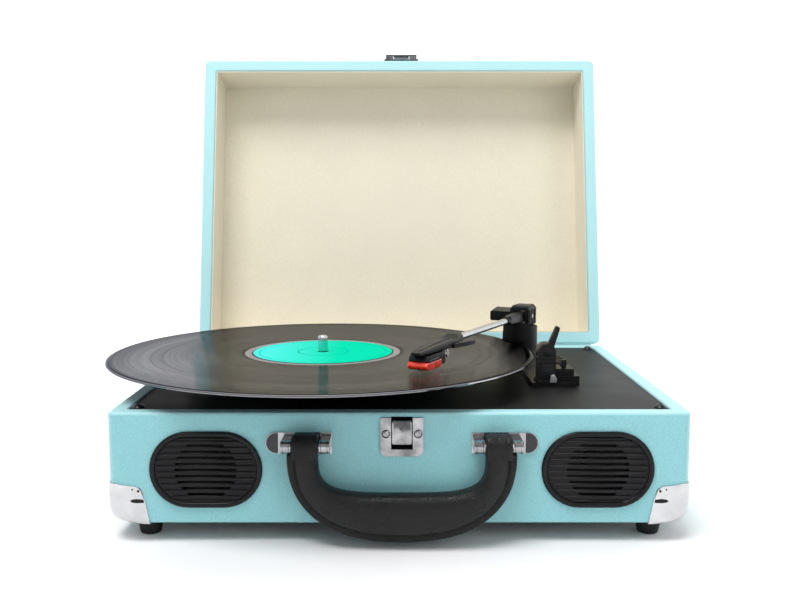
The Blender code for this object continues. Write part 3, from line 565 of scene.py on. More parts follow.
def lathe(profile, steps, bore=False, centre=(0, 0, 0)):
    """A profile of (radius, height) turned about Z. A bored one is joined to itself."""
    bm = bmesh.new()
    cx, cy, cz = centre
    rings = []
    for radius, height in profile:
        if radius == 0:
            rings.append([bm.verts.new((cx, cy, cz + height))])
            continue
        turns = [2 * pi * i / steps for i in range(steps)]
        spots = [(cx + radius * cos(a), cy + radius * sin(a), cz + height) for a in turns]
        rings.append([bm.verts.new(p) for p in spots])
    pairs = list(zip(rings, rings[1:]))
    if bore:
        pairs.append((rings[-1], rings[0]))
    for low, high in pairs:
        for i in range(steps):
            j = (i + 1) % steps
            if len(low) == 1:
                bm.faces.new((low[0], high[j], high[i]))
            elif len(high) == 1:
                bm.faces.new((low[i], low[j], high[0]))
            else:
                bm.faces.new((low[i], low[j], high[j], high[i]))
    return bm


def prism_y(points, low, high):
    """An outline in X and Z, extruded along Y."""
    return loft([[(x, y, z) for x, z in points] for y in (low, high)])


def prism_z(points, low, high):
    """An outline in X and Y, extruded upwards."""
    return loft([[(x, y, z) for x, y in points] for z in (low, high)])


def box(x, y, z):
    return prism_z([(x[0], y[0]), (x[1], y[0]), (x[1], y[1]), (x[0], y[1])], *z)


def merged(*shapes):
    """Separate closed shapes in one mesh."""
    bm = bmesh.new()
    for shape in shapes:
        mesh = bpy.data.meshes.new("part")
        shape.to_mesh(mesh)
        shape.free()
        bm.from_mesh(mesh)
        bpy.data.meshes.remove(mesh)
    return bm


def smoothed(points, steps=5):
    """Points on a smooth curve through the given ones."""
    knots = [Vector(p) for p in (points[0], *points, points[-1])]
    curve = []
    for a, b, c, d in zip(knots, knots[1:], knots[2:], knots[3:]):
        for k in range(steps):
            t = k / steps
            spot = b * 2 + (c - a) * t + (a * 2 - b * 5 + c * 4 - d) * t * t + (b * 3 - a - c * 3 + d) * t**3
            curve.append(spot / 2)
    return [*curve, knots[-1]]


def tube_along(points, radius, sides=10):
    """A round tube along a curve."""
    loops = []
    for k, spot in enumerate(points):
        ahead = points[min(k + 1, len(points) - 1)] - points[max(k - 1, 0)]
        side = ahead.cross((0, 1, 0)).normalized()
        up = side.cross(ahead).normalized()
        turns = [2 * pi * i / sides for i in range(sides)]
        loops.append([spot + side * (radius * cos(a)) + up * (radius * sin(a)) for a in turns])
    return loft(loops)


def placed(bm, at, turn=None):
    """A shape turned about one axis, by an axis and degrees, and then moved."""
    if turn:
        bm.transform(Matrix.Rotation(radians(turn[1]), 4, turn[0]))
    bm.transform(Matrix.Translation(at))
    return bm


def arc(centre, radius, start, end, steps):
    turns = [radians(start + (end - start) * i / steps) for i in range(steps + 1)]
    return [(centre[0] + radius * cos(a), centre[1] + radius * sin(a)) for a in turns]


def capsule(width, height, centre, steps=20):
    """A stadium outline in X and Z."""
    r = height / 2
    right = arc((centre[0] + width / 2 - r, centre[1]), r, -90, 90, steps)
    left = arc((centre[0] - width / 2 + r, centre[1]), r, 90, 270, steps)
    return right + left


def carve(target, bm):
    """Cut a shape out of a finished piece and keep the result as its mesh."""
    bm.transform(Matrix.Scale(MM, 4))
    bmesh.ops.recalc_face_normals(bm, faces=bm.faces)
    mesh = bpy.data.meshes.new("cutter")
    bm.to_mesh(mesh)
    bm.free()
    tool = add_object("cutter", mesh)
    change = target.modifiers.new("Cut", "BOOLEAN")
    change.operation = "DIFFERENCE"
    change.object = tool
    bpy.context.view_layer.update()
    seen = target.evaluated_get(bpy.context.evaluated_depsgraph_get())
    result = bpy.data.meshes.new_from_object(seen)
    target.modifiers.remove(change)
    target.data = result
    bpy.data.objects.remove(tool)


def cross(size, depth, width, centre):
    """A Phillips recess, pointing along -Y, to cut into a screw head."""
    x, y, z = centre
    across = box((x - size, x + size), (y - depth, y + depth), (z - width, z + width))
    down = box((x - width, x + width), (y - depth, y + depth), (z - size, z + size))
    return across, down


def facing_screw(name, centre, radius, slot, look=None, outward=-1, turn=0.0):
    """A round-headed cross screw in the case, whose head faces -Y, or +Y when outward is 1."""
    x, y, z = centre
    dome = [(0, 1.1), (radius * 0.5, 1.0), (radius * 0.85, 0.65), (radius, 0.15), (radius, 0), (0, 0)]
    head = placed(lathe(dome, 24), centre, ("X", -90 * outward))
    made = piece(name, head, slot, look=look)
    there, back = Matrix.Translation(centre), Matrix.Translation((-x, -y, -z))
    for cutter in cross(radius * 0.62, 0.7, radius * 0.14, (x, y + 1.2 * outward, z)):
        cutter.transform(there @ Matrix.Rotation(turn, 4, "Y") @ back)
        carve(made, cutter)


# ---- case details


def grilles():
    """Bezel, backing plate and rounded slats of each speaker grille."""
    pitch, field, speaker = 3.8, (61.0, 40.4), 19.0
    top_slat = 19.4
    lip = ((0, -0.3), (0.05, -1.3), (0.5, -1.95), (1.3, -2.2), (2.3, -2.1), (3.0, -1.6), (3.6, -0.9))
    lip += ((3.6, 3.8), (3.3, 4.0), (2.9, 3.8), (2.9, -0.3))
    for name, side in SIDES:
        cx, cz = centre = (FITTINGS_X + side * 119.6, 33.7)
        rows = []
        for inset, out in lip:
            outline = capsule(69 - 2 * inset, 47.5 - 2 * inset, centre)
            rows.append([(x, FRONT + out, z) for x, z in outline])
        bezel = loft(rows, closed=True)
        outline = capsule(field[0] + 1.4, field[1] + 0.6, centre)
        turns = [atan2(z - cz, x - cx) for x, z in outline]
        opening = [(cx + speaker * cos(a), cz + speaker * sin(a)) for a in turns]
        stack = ((outline, -0.9), (opening, -0.9), (opening, 3.6), (outline, 3.6))
        plate = loft([[(x, FRONT + out, z) for x, z in ring] for ring, out in stack], closed=True)
        slats = []
        for k in range(-5, 7):
            level = (k - 0.5) * pitch
            high = 1.16 if abs(level) < 20 else 0.5
            level = clamp(level, -top_slat, top_slat)
            end = sqrt(max((field[1] / 2) ** 2 - level**2, 4.0))
            reach = (field[0] - field[1]) / 2 + end
            shape = [(-high, -0.6), (-high, -1.3), (-high * 0.75, -1.75), (0, -1.92)]
            shape += [(high * 0.75, -1.75), (high, -1.3), (high, -0.6)]
            loops = []
            for x in (-reach, -reach + 0.8, reach - 0.8, reach):
                low, flat = (0.55, 0.75) if abs(x) == reach else (1, 1)
                loops.append([(cx + x, FRONT + out * flat, cz + level + z * low) for z, out in shape])
            slats.append(loft(loops))
        bm = merged(bezel, plate, *slats)
        piece(f"grille_{name}_look", bm, "grille_plastic", replaces=[f"grille_{name}"], smooth=50)


def deck_screws():
    """Round-headed cross screws at the deck's corners."""
    dome = [(0, 2.5), (1.2, 2.45), (2.3, 2.1), (3.2, 1.4), (3.7, 0.6), (3.8, 0.3), (0, 0.3)]
    for name, sx, sy in CORNERS:
        x, y = sx * 163.0, sy * 113.0
        head = lathe(dome, 28, centre=(x, y, 68))
        made = piece(f"deck_screw_{name}_look", head, "screw_black", replaces=[f"deck_screw_{name}"])
        turn = Matrix.Translation((x, y, 0)) @ Matrix.Rotation(0.5 * sx + 0.3 * sy, 4, "Z")
        for across, along in ((2.1, 0.42), (0.42, 2.1)):
            slot_cut = box((-across, across), (-along, along), (69.6, 71.2))
            slot_cut.transform(turn)
            carve(made, slot_cut)


def rounded_slab(x, y, z, radius, edge, steps=6):
    """A plate in X and Z with rounded corners and an eased front edge, thick along Y."""
    cx, cz = (x[0] + x[1]) / 2, (z[0] + z[1]) / 2
    w, h = (x[1] - x[0]) / 2, (z[1] - z[0]) / 2

    def ring(inset, out):
        points = []
        r = max(radius - inset, 0.1)
        for k, (sx, sz) in enumerate(((1, 1), (-1, 1), (-1, -1), (1, -1))):
            corner = (cx + sx * (w - inset - r), cz + sz * (h - inset - r))
            points += arc(corner, r, 90 * k, 90 * k + 90, steps)
        return [(px, out, pz) for px, pz in points]

    return loft([ring(0, y[1]), ring(0, y[0] + edge), ring(edge * 0.3, y[0] + edge * 0.3), ring(edge, y[0])])


def latch():
    """The button in its well, and the two screws and washers that hold the catch plate."""
    x = FITTINGS_X
    button = rounded_slab((x - 6.1, x + 6.1), (FRONT - 3.9, FRONT - 1.8), (50.0, 64.7), 1.3, 0.8)
    stem = box((x - 5.8, x + 5.8), (FRONT - 1.9, FRONT + 4.9), (51.6, 62.9))
    piece("latch_button_look", merged(button, stem), "latch_chrome", "button", ["latch_button"], smooth=40)
    places = [(name, (x + side * 9.8, FRONT - 1.5, 56.3)) for name, side in SIDES]
    for (name, at), turn in zip(places, (0.4, -0.3)):
        facing_screw(f"latch_screw_{name}", at, 2.5, "latch_chrome", turn=turn)
    for name, at in places:
        ring = [(2.6, 0), (2.75, 0.35), (3.2, 0.35), (3.25, 0), (2.9, -0.1)]
        dish = placed(lathe(ring, 28, bore=True), at, ("X", 90))
        piece(f"latch_washer_{name}", dish, "latch_chrome", look="bracket_chrome")
    well = box((x - 6.5, x + 6.5), (FRONT + 5.2, FRONT + 5.9), (46.7, 66.5))
    sill = box((x - 6.5, x + 6.5), (FRONT - 1.2, FRONT + 5.1), (46.55, 46.8))
    piece("latch_well", merged(well, sill), "grille_plastic")


def bracket_details():
    """Dark pads on the brackets' outer ends, and collars on the handle's pins."""
    y, z = HANDLE_AXIS[1:]
    for name, side in SIDES:
        outline = [(75.2, z - 6.2), *arc((76.2, z), 6.2, -90, 90, 16), (75.2, z + 6.2)]
        pad = prism_y([(FITTINGS_X + side * px, pz) for px, pz in outline], FRONT - 1.9, FRONT - 1.45)
        piece(f"bracket_pad_{name}", pad, "bracket_chrome", look="bracket_dark", bevel=0.15)
        for index, px in enumerate((44.4, 48.2, 67.6, 71.2)):
            ring = [(4.15, -0.25), (4.3, 0), (4.15, 0.25), (3.6, 0.25), (3.6, -0.25)]
            collar = placed(lathe(ring, 28, bore=True), (FITTINGS_X + side * px, y, z), ("Y", 90))
            piece(f"bracket_collar_{name}_{index}", collar, "bracket_chrome")


# ---- handle


def grip_curve(angle, width, drop, power):
    """A point on half a superellipse that hangs below the handle's axis."""
    c, s = cos(radians(angle)), sin(radians(angle))
    x = -copysign(abs(c) ** (2 / power), c) * width
    return Vector((x, -4.6 - abs(s) ** (2 / power) * drop))


def grip_section(inside, outside, edge, half=8.2):
    """One slice of the grip: an oval, and a seam flange beyond it with a groove at its root."""
    middle, along = (inside + outside) / 2, (outside - inside) / 2
    out = along.normalized()
    points = []
    for k in range(-9, 10):
        a = radians(180 + k * 17.5)
        flat = middle + along * copysign(abs(cos(a)) ** 0.8, cos(a))
        points.append((flat.x, half * copysign(abs(sin(a)) ** 0.8, sin(a)), flat.y))
    foot = outside - out * 0.8
    lip = edge - out * 0.7
    rim = [(foot, -2.3), (foot + out * 1.4, -2.7), (lip, -2.9), (edge, -2.0), (edge, 2.0), (lip, 2.9)]
    rim += [(foot + out * 1.4, 2.7), (foot, 2.3)]
    return points + [(p.x, y, p.y) for p, y in rim]


def handle():
    """The grip with its seam flange, and the wrapped sleeves on the pins."""
    slices, ridges = 72, 16
    loops = []
    for k in range(slices + 1):
        angle = 180 * k / slices
        inside = grip_curve(angle, 50.0, 23.8, 4.0)
        outside = grip_curve(angle, 64.8, 50.0, 2.35)
        edge = grip_curve(angle, 68.8, 53.8, 2.35)
        loops.append(grip_section(inside, outside, edge))
    shapes = [loft(loops)]
    for side in (-1, 1):
        rows = []
        for k in range(ridges + 1):
            x = 50.1 + 15.4 * k / ridges
            swell = 0.22 * sin(k * 2.4) + 0.12 * sin(k * 5.1)
            radius = 8.0 + swell - (0.7 if k in (0, ridges) else 0)
            outer = arc((0, 0), radius, -8, 188, 22)
            foot = [(-radius, -6.2), (radius, -6.2)]
            rows.append([(side * x, y, z) for y, z in [*outer, *foot]])
        shapes.append(loft(rows))
    piece("handle_look", merged(*shapes), "handle_grain", "grip", ["handle"], smooth=60)


# ---- corner caps


FLARE = 15.0
CORNER_RADIUS = 5.0


def flared_radius(z):
    """The case's corner radius at a height: it grows below the flare, in a quarter ellipse."""
    across = max(FLARE - z, 0) / FLARE
    return CORNER_RADIUS + 19.0 * (1 - sqrt(1 - across**2))


def cap_reach(z):
    """How far a cap runs along each face, a little less higher up."""
    return 25.0 - 0.19 * max(z, 0)


def cap_columns(inset, radius, reach):
    """Points round a cap from one face to the other, each with its distance from the corner's bend."""
    straight = reach - inset - radius
    runs = [radius + straight * f for f in (1.0, 0.97, 0.92, 0.85, 0.75, 0.6, 0.4, 0.2)]
    width, depth = HALF_WIDTH - inset, HALF_DEPTH - inset
    turn = arc((width - radius, depth - radius), radius, 0, 90, 18)
    side = [(width, depth - run) for run in runs]
    front = [(width - run, depth) for run in reversed(runs)]
    return list(zip(side + turn + front, runs + [0] * len(turn) + runs[::-1]))


def cap_top(away):
    """The height of a cap's upper edge, which falls off in a curve towards its ends."""
    edge, bend = 15.8, 5.6
    level = 25.0 - 0.11 * min(away, edge)
    over = clamp((away - edge) / bend, 0, 1)
    return level - bend * (1 - sqrt(1 - over**2))


def cap_sheet(offset):
    """One face of a cap, as rows of points from under the case up to its edge."""
    rows = []
    for inset in (7.0, 0.9 - offset):
        row = cap_columns(inset, 24.0 - inset, cap_reach(0))
        rows.append([(x, y, -offset) for (x, y), _ in row])
    for z in (0.8, 1.5, 2.2, 3.3, 4.5, 6.2, 8.0, 10.0, 12.5, FLARE):
        row = cap_columns(-offset, flared_radius(z) + offset, cap_reach(z))
        rows.append([(x, y, z) for (x, y), _ in row])
    for part in (0.4, 0.8, 1.0):
        row = cap_columns(-offset, CORNER_RADIUS + offset, cap_reach(20))
        heights = [FLARE + part * (cap_top(away) - FLARE) for _, away in row]
        rows.append([(x, y, z) for ((x, y), _), z in zip(row, heights)])
    return rows


def sheet_between(inner, outer):
    """A closed sheet with thickness between two grids of points."""
    bm = bmesh.new()
    low = [[bm.verts.new(p) for p in row] for row in inner]
    high = [[bm.verts.new(p) for p in row] for row in outer]
    rows, columns = len(low), len(low[0])
    for r in range(rows - 1):
        for c in range(columns - 1):
            for grid in (low, high):
                bm.faces.new((grid[r][c], grid[r][c + 1], grid[r + 1][c + 1], grid[r + 1][c]))
        for c in (0, columns - 1):
            bm.faces.new((low[r][c], high[r][c], high[r + 1][c], low[r + 1][c]))
    for r in (0, rows - 1):
        for c in range(columns - 1):
            bm.faces.new((low[r][c], low[r][c + 1], high[r][c + 1], high[r][c]))
    return bm


def corner_caps():
    """Plated caps, each outer face with thin dark sheets painted as the shade in a slot and two round holes.
    """
    slot = [(156.2, 12.9), (156.5, 14.9), (160.5, 15.3), (163.4, 15.0), (164.9, 14.1), (163.6, 13.1)]
    slot.append((160.5, 12.7))
    holes = [arc(at, radius, 0, 330, 11) for at, radius in (((159.6, 20.2), 0.8), ((163.2, 21.2), 0.55))]
    y, side = HALF_DEPTH + 0.8, HALF_WIDTH + 0.8
    to_side = Matrix(((0, 1, 0, side - y), (1, 0, 0, HALF_DEPTH - HALF_WIDTH), (0, 0, 1, 0), (0, 0, 0, 1)))
    for name, sx, sy in CORNERS:
        flip = Matrix.Diagonal((sx, sy, 1, 1))
        cap = sheet_between(cap_sheet(0.25), cap_sheet(0.8))
        cap.transform(flip)
        piece(f"corner_{name}_look", cap, "corner_metal", replaces=[f"corner_{name}"], smooth=40)
        for part, face in (("a", Matrix.Identity(4)), ("b", to_side)):
            # Painted shade: thin black sheets laid on the cap where the slot and holes show dark
            painted_slot_shade = merged(*[prism_y(outline, y - 0.05, y + 0.12) for outline in (slot, *holes)])
            painted_slot_shade.transform(flip @ face)
            piece(f"corner_{name}_slit_shade_{part}", painted_slot_shade, "corner_metal", look="grille_plastic")


# ---- turntable


def round_spindle(drops, steps):
    """A bored disc round the spindle, of points given by radius and depth below the record's top."""
    profile = [(radius, RECORD_TOP - drop) for radius, drop in drops]
    return lathe(profile, steps, bore=True, centre=(*SPINDLE, 0))


def record_disc():
    """The record with its raised rim and label area, the printed label, and the plain ring round that."""
    drops = ((3.75, 0.15), (4.2, 0.02), (50.3, 0.02), (50.9, 0.22), (57.5, 0.26), (58.2, 0.2), (146.3, 0.2))
    drops += ((147.2, 0.05), (149.6, 0.05), (150.4, 0.4), (150.75, 1.0), (150.4, 1.6), (149.4, 1.97))
    drops += ((3.75, 1.97),)
    piece("record_look", round_spindle(drops, 180), "record_vinyl", "turntable", ["record"], smooth=30)
    paper = round_spindle(((3.8, 0), (49.9, 0), (49.9, 0.1), (3.8, 0.1)), 120)
    piece("record_label", paper, "record_vinyl", "turntable", look="label_paper")
    ring = round_spindle(((51.0, 0.19), (55.8, 0.21), (55.8, 0.4), (51.0, 0.4)), 120)
    piece("lead_out_ring", ring, "record_vinyl", "turntable", look="label_ring")


def spindle():
    tip = [(0, 99.8), (1.9, 99.75), (2.7, 99.5), (3.2, 99.05), (3.45, 98.4), (3.5, 97.5)]
    shaft = [(3.5, 89.2), (3.3, 88.9), (3.3, 73.5), (3, 73.5), (3, 52), (0, 52)]
    turned = lathe(tip + shaft, 40, centre=(*SPINDLE, 0))
    piece("spindle_look", turned, "spindle_chrome", "turntable", ["spindle"])


# ---- arm


def section(x, half, low, high, chamfer, middle=0.0):
    """An upright slice across the arm, with its corners cut off."""
    c = chamfer
    ring = ((half, low + c), (half, high - c), (half - c, high), (c - half, high))
    ring += ((-half, high - c), (-half, low + c), (c - half, low), (half - c, low))
    return [(x, middle + a, b) for a, b in ring]


def arm_tube():
    """A drawn tube with a collar at each end."""
    profile = [(1.9, 28.5), (2.45, 28.5), (2.45, 143.9), (1.9, 143.9)]
    tube = placed(lathe(profile, 32, bore=True), (0, 0, ARM_LEVEL), ("Y", 90))
    piece("arm_tube_look", tube, "spindle_chrome", "tonearm", ["arm_tube"], look="tube_silver")
    for index, (start, length, radius) in enumerate(((37.6, 4.5, 3.3), (133.0, 4.0, 3.2))):
        rim = radius - 0.3
        profile = [(2.5, 0), (rim, 0), (radius, 0.4), (radius, length - 0.4), (rim, length), (2.5, length)]
        collar = placed(lathe(profile, 28, bore=True), (start, 0, ARM_LEVEL), ("Y", 90))
        piece(f"arm_collar_{index}", collar, "arm_plastic", "tonearm")


def headshell():
    """The shell with its finger lift, a small ear opposite, a ridge and two rails along its top."""
    slices = ((136.2, 4.2, 98.4, 105.6, 1.8), (140, 4.9, 98.3, 105.8, 1.9), (145, 5.5, 98.3, 105.6, 1.7))
    slices += ((150, 7.3, 98.8, 103.6, 1.2), (160, 7.2, 98.8, 103.6, 1.0), (175, 6.3, 98.8, 103.0, 1.0))
    slices += ((190, 5.2, 98.8, 102.2, 0.9), (199, 4.4, 98.9, 101.6, 0.8), (202.8, 3.6, 99.3, 101.0, 0.6))
    shell = loft([section(*s) for s in slices])
    lift = [(160, 4.2), (161, 8.4), (152, 11.0), (140, 13.2), (136, 13.4), (134.4, 12.4), (134.4, 10.8)]
    lift += [(146, 6.2), (148, 4.2)]
    ear = [(148.2, -5.8), (148.2, -9.8), (150.5, -11.7), (157.5, -10.8), (157.8, -5.8)]
    top = ((152, 1.1, 103.2, 104.3, 0.4), (172, 1.0, 102.9, 103.7, 0.3), (196, 0.8, 101.4, 102.2, 0.3))
    ridge = loft([section(*s) for s in top])
    rails = []
    for side in (-1, 1):
        ends = ((152, 0.5, 103.0, 103.9, 0.15, side * 5.6), (188, 0.45, 101.9, 102.6, 0.15, side * 4.2))
        rails.append(loft([section(*s) for s in ends]))
    bm = merged(shell, prism_z(lift, 98.7, 101.6), prism_z(ear, 98.9, 100.6), ridge, *rails)
    piece("headshell_look", bm, "arm_plastic", "tonearm", ["headshell"], bevel=0.25)


def cartridge():
    """The cartridge's body, with its six terminals and the four leads to them."""
    body = [(171.2, 90.4), (179.0, 90.2), (179.4, 93.6), (197.6, 94.0), (199.6, 95.4), (198, 98.4)]
    body.append((171.2, 98.4))
    nose = loft([section(181, 6.9, 93.9, 96.2, 0.5), section(196, 6.9, 93.9, 96.0, 0.5)])
    flank = [box((173, 196), (s * 6.5 - 0.25, s * 6.5 + 0.25), (96.6, 97.4)) for s in (-1, 1)]
    shell = merged(prism_y(body, -6.6, 6.6), nose, *flank)
    piece("cartridge_look", shell, "cartridge_plastic", "tonearm", ["cartridge"], bevel=0.2)
    pins = ((-4.4, 95.9), (-1.5, 95.9), (1.5, 95.9), (4.4, 95.9), (-3, 92.8), (3, 92.8))
    for index, (y, z) in enumerate(pins):
        profile = [(0, 0), (0.55, 0), (0.55, 2.0), (0.85, 2.2), (0.85, 5.0), (0.6, 5.6), (0, 5.7)]
        pin = placed(lathe(profile, 12), (171.4, y, z), ("Y", -90))
        look = "terminal_white" if index % 2 else "spindle_chrome"
        piece(f"terminal_{index}", pin, "cartridge_plastic", "tonearm", look=look)
    route = [(166.4, 95.9), (164.2, 94.2), (162.0, 92.8), (160.0, 93.4), (159.3, 96.2), (159.6, 99.6)]
    for index, (y, _) in enumerate(pins[:4]):
        spots = smoothed([(x, y * (1 - 0.1 * k), z) for k, (x, z) in enumerate(route)])
        look = "wire_silver" if index % 2 else "wire_white"
        piece(f"lead_{index}", tube_along(spots, 0.55), "cartridge_plastic", "tonearm", look=look)


def stylus():
    """The red guard, with its sides eased, and the tip under it."""
    back, front, low, high = 177.2, 201.0, 88.9, 94.6
    guard = [(back, 90.6), (179.7, 89.3), (182, 88.95), (194, low), (198.6, 89.5), (200.6, 90.8)]
    guard += [(front, 92.4), (199.4, high), (back, 94.3)]
    loops = []
    for y, ease in ((-7.0, 0.8), (-6.2, 0.0), (6.2, 0.0), (7.0, 0.8)):
        xs = [clamp(x, back + ease, front - ease) for x, _ in guard]
        zs = [clamp(z, low + ease, high - ease) for _, z in guard]
        loops.append([(x, y, z) for x, z in zip(xs, zs)])
    look = loft(loops)
    piece("stylus_look", look, "stylus_red", "tonearm", ["stylus"], bevel=0.35, smooth=50)
    tip = lathe([(0, 1.6), (0.75, 1.6), (0.6, 0.8), (0.12, 0.05), (0, 0)], 12, centre=(196.5, 0, 88.3))
    piece("stylus_tip", tip, "stylus_red", "tonearm", look="spindle_chrome")


def yoke_details():
    """Ribs, a cover plate and the pin's caps on the block that turns with the arm."""
    for index in range(4):
        x = -6.3 + 4.2 * index
        rib = loft([section(at, 0.5, 95.6, 107.6, 0.3, 8.1) for at in (x, x + 1.6)])
        piece(f"yoke_rib_{index}", rib, "arm_plastic", "yoke")
    for index in range(3):
        y = -24.5 + 4.6 * index
        rib = box((3.7, 4.5), (y, y + 1.5), (98.2, 103.6))
        piece(f"yoke_box_rib_{index}", rib, "arm_plastic", "yoke", bevel=0.15)
    plate = loft([section(x, 5.6, 110.8, 111.0, 0.05) for x in (-6.6, 6.6)])
    piece("yoke_cover", plate, "arm_plastic", "yoke", look="arm_plastic_light")
    for name, side in SIDES:
        profile = [(0, 0.5), (1.2, 0.45), (1.9, 0.1), (1.9, 0), (0, 0)]
        cap = placed(lathe(profile, 20), (0, side * 8.0, ARM_LEVEL), ("X", -90 * side))
        piece(f"yoke_pin_cap_{name}", cap, "bearing_metal", "yoke")


def turret_details():
    """A lip round the turret's top and a band round its foot."""
    lip = [(9.2, 93.6), (9.2, 93.9), (11.3, 93.9), (11.8, 93.3), (11.8, 92.3), (11.4, 92.0)]
    band = [(11.5, 78.2), (12.1, 78.0), (12.1, 72.4), (12.6, 71.6), (12.6, 71.2), (11.4, 71.2)]
    for name, profile in (("lip", lip), ("band", band)):
        bm = lathe(profile, 48, bore=True, centre=(*PIVOT, 0))
        piece(f"turret_{name}", bm, "arm_plastic", smooth=40)


def console_details():
    """Ridges on the console, a silver clip on the rest and the screws of the arm's base."""
    for index in range(6):
        y = -24 + 6.0 * index
        rib = box((110.4, 120.9), (y, y + 2.4), (79.8, 80.9))
        piece(f"console_rib_{index}", rib, "arm_plastic", bevel=0.25)
    for index in range(4):
        z = 72.3 + 1.9 * index
        rib = box((111.0, 120.6), (-45.6, -44.8), (z, z + 0.9))
        piece(f"console_front_rib_{index}", rib, "arm_plastic", bevel=0.12)
    clip = [(104.0, 71.6), (108.6, 71.6), (108.6, 74.4), (106.9, 77.2), (104.6, 76.6)]
    piece("rest_clip", prism_y(clip, -51.2, -50.1), "spindle_chrome", bevel=0.15)
    for index, (x, y) in enumerate(((95.5, 50), (118.5, 60), (118.5, 90), (86.5, 92))):
        dome = [(0, 1.6), (1.2, 1.5), (2.2, 0.9), (2.4, 0), (0, 0)]
        head = lathe(dome, 20, centre=(x, y, 71.3))
        made = piece(f"base_screw_{index}", head, "arm_plastic", look="screw_black")
        for across, along in ((1.4, 0.3), (0.3, 1.4)):
            carve(made, box((x - across, x + across), (y - along, y + along), (72.3, 73.6)))


def rest_details():
    """End caps of the lever's pin, and the ledges and panel of the rest post."""
    x, z = 102.0, 92.4
    for name, outward, level in (("front", -1, -50.0), ("back", 1, -36.9)):
        profile = [(0, 0.5), (2.2, 0.45), (2.8, 0.15), (2.8, 0), (0, 0)]
        cap = placed(lathe(profile, 24), (x, level, z), ("X", -90 * outward))
        piece(f"rest_cap_{name}", cap, "arm_plastic")
    for index, (low, high, out) in enumerate(((70.9, 73.2, 1.0), (85.2, 86.3, 0.45), (88.0, 88.8, 0.35))):
        ledge = box((95.9 - out, 108.1 + out), (-49.9 - out, -37.0 + out), (low, high))
        piece(f"rest_ledge_{index}", ledge, "arm_plastic", bevel=0.2)
    panel = rounded_slab((97.6, 106.4), (-50.35, -49.8), (73.6, 84.6), 0.8, 0.2)
    piece("rest_panel", panel, "arm_plastic")


# ---- back and underside


def rear_details():
    """The back panel's screws and the two audio sockets."""
    for index, (x, z) in enumerate(((-50.5, 15.5), (50.5, 15.5), (-50.5, 52.5), (50.5, 52.5))):
        at = (x, BACK + 1.8, z)
        facing_screw(f"rear_screw_{index}", at, 2.3, "rear_plastic", "screw_black", 1, 0.3 * index)
    for name, x, look in (("left", -14, "socket_red"), ("right", 2, "socket_white")):
        ring = [(2.2, 0), (4.9, 0), (4.9, 0.9), (4.3, 1.2), (2.2, 1.2)]
        collar = placed(lathe(ring, 28, bore=True), (x, BACK + 6.9, 34), ("X", -90))
        piece(f"socket_collar_{name}", collar, "rear_plastic", look=look)
        shell = [(1.9, 0), (2.6, 0), (2.6, 2.4), (1.9, 2.4)]
        tube = placed(lathe(shell, 24, bore=True), (x, BACK + 7.9, 34), ("X", -90))
        piece(f"socket_shell_{name}", tube, "rear_plastic", look="spindle_chrome")


def volume_knob():
    """The knob with its finger ribs and pointer, and the ticks round it."""
    ribs, ticks, sweep = 24, 11, 280
    face = [(0, 11.6), (5.6, 11.6), (6.2, 12.0), (7.1, 11.9), (7.7, 11.2), (7.75, 2.4)]
    grips = []
    for k in range(ribs):
        rib = box((-0.32, 0.32), (7.7, 8.0), (2.8, 10.6))
        rib.transform(Matrix.Rotation(2 * pi * k / ribs, 4, "Z"))
        grips.append(rib)
    body = merged(lathe([*face, (3, 2.4), (3, -10), (0, -10)], 48), *grips)
    placed(body, KNOB_AT, ("X", -90))
    piece("volume_knob_look", body, "rear_plastic", "knob", ["volume_knob"])
    pointer = placed(box((-0.5, 0.5), (3.0, 7.0), (11.7, 12.0)), KNOB_AT, ("X", -90))
    piece("volume_pointer", pointer, "rear_plastic", "knob", look="terminal_white")
    for index in range(ticks):
        tick = box((-0.25, 0.25), (9.4, 10.8), (1.85, 1.98))
        tick.transform(Matrix.Rotation(radians(sweep * index / (ticks - 1) - sweep / 2), 4, "Z"))
        placed(tick, KNOB_AT, ("X", -90))
        piece(f"volume_tick_{index}", tick, "rear_plastic", look="terminal_white")


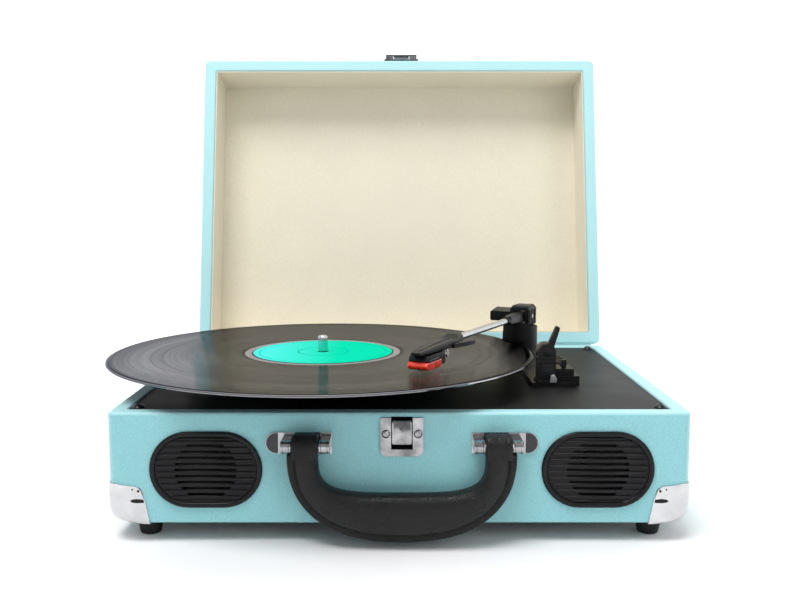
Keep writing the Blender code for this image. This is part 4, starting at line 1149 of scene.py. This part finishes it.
def hinge_screws():
    """The screws of the two hinges, in the case and in the lid."""
    dome = [(0, 1.0), (1.2, 0.9), (2.0, 0.4), (2.2, 0), (0, 0)]
    for name, side in SIDES:
        for index, dx in enumerate((-13.5, 13.5)):
            x = side * 110.0 + dx
            at = (x, BACK + 1.25, 58.5)
            facing_screw(f"hinge_screw_{name}_{index}", at, 2.2, "hinge_steel", None, 1, 0.2)
            head = placed(lathe(dome, 20), (x, 0.45, 11.0), ("X", -90))
            piece(f"hinge_lid_screw_{name}_{index}", head, "hinge_steel", "lid")


def hasp_details():
    """Rivets on the hasp's plate."""
    dome = [(0, 0.9), (1.0, 0.8), (1.7, 0.3), (1.8, 0), (0, 0)]
    for name, side in SIDES:
        rivet = placed(lathe(dome, 20), (FITTINGS_X + side * 11.5, -262.2, 11.2), ("X", 90))
        piece(f"hasp_rivet_{name}", rivet, "latch_chrome", "lid")


def underside_details():
    """Screws in the bottom panel, and the tapered feet."""
    screws = [(x, y) for y in (-112, 112) for x in (-120, 120)] + [(0, -112), (0, 112)]
    for index, (x, y) in enumerate(screws):
        dome = [(0, -1.2), (1.5, -1.1), (2.8, -0.4), (3.0, 0), (0, 0)]
        head = lathe(dome, 20, centre=(x, y, -0.02))
        piece(f"bottom_screw_{index}", head, "bottom_board", look="screw_black")
    side = [(0, -0.3), (8.0, -0.3), (8.5, -0.8), (8.35, -2.4), (7.9, -5.0), (6.75, -11.3), (6.3, -12.2)]
    tread = [(5.6, FLOOR), (3.4, FLOOR), (3.2, -11.0), (0, -11.0)]
    for name, sx, sy in CORNERS:
        foot = lathe(side + tread, 40, centre=(sx * 158.0, sy * 110.0, 0))
        piece(f"foot_{name}_look", foot, "foot_rubber", replaces=[f"foot_{name}"], smooth=40)


camera()
lights()
floor()
make_looks()
grilles()
deck_screws()
latch()
bracket_details()
handle()
corner_caps()
record_disc()
spindle()
arm_tube()
headshell()
cartridge()
stylus()
yoke_details()
turret_details()
console_details()
rest_details()
rear_details()
volume_knob()
hinge_screws()
hasp_details()
underside_details()
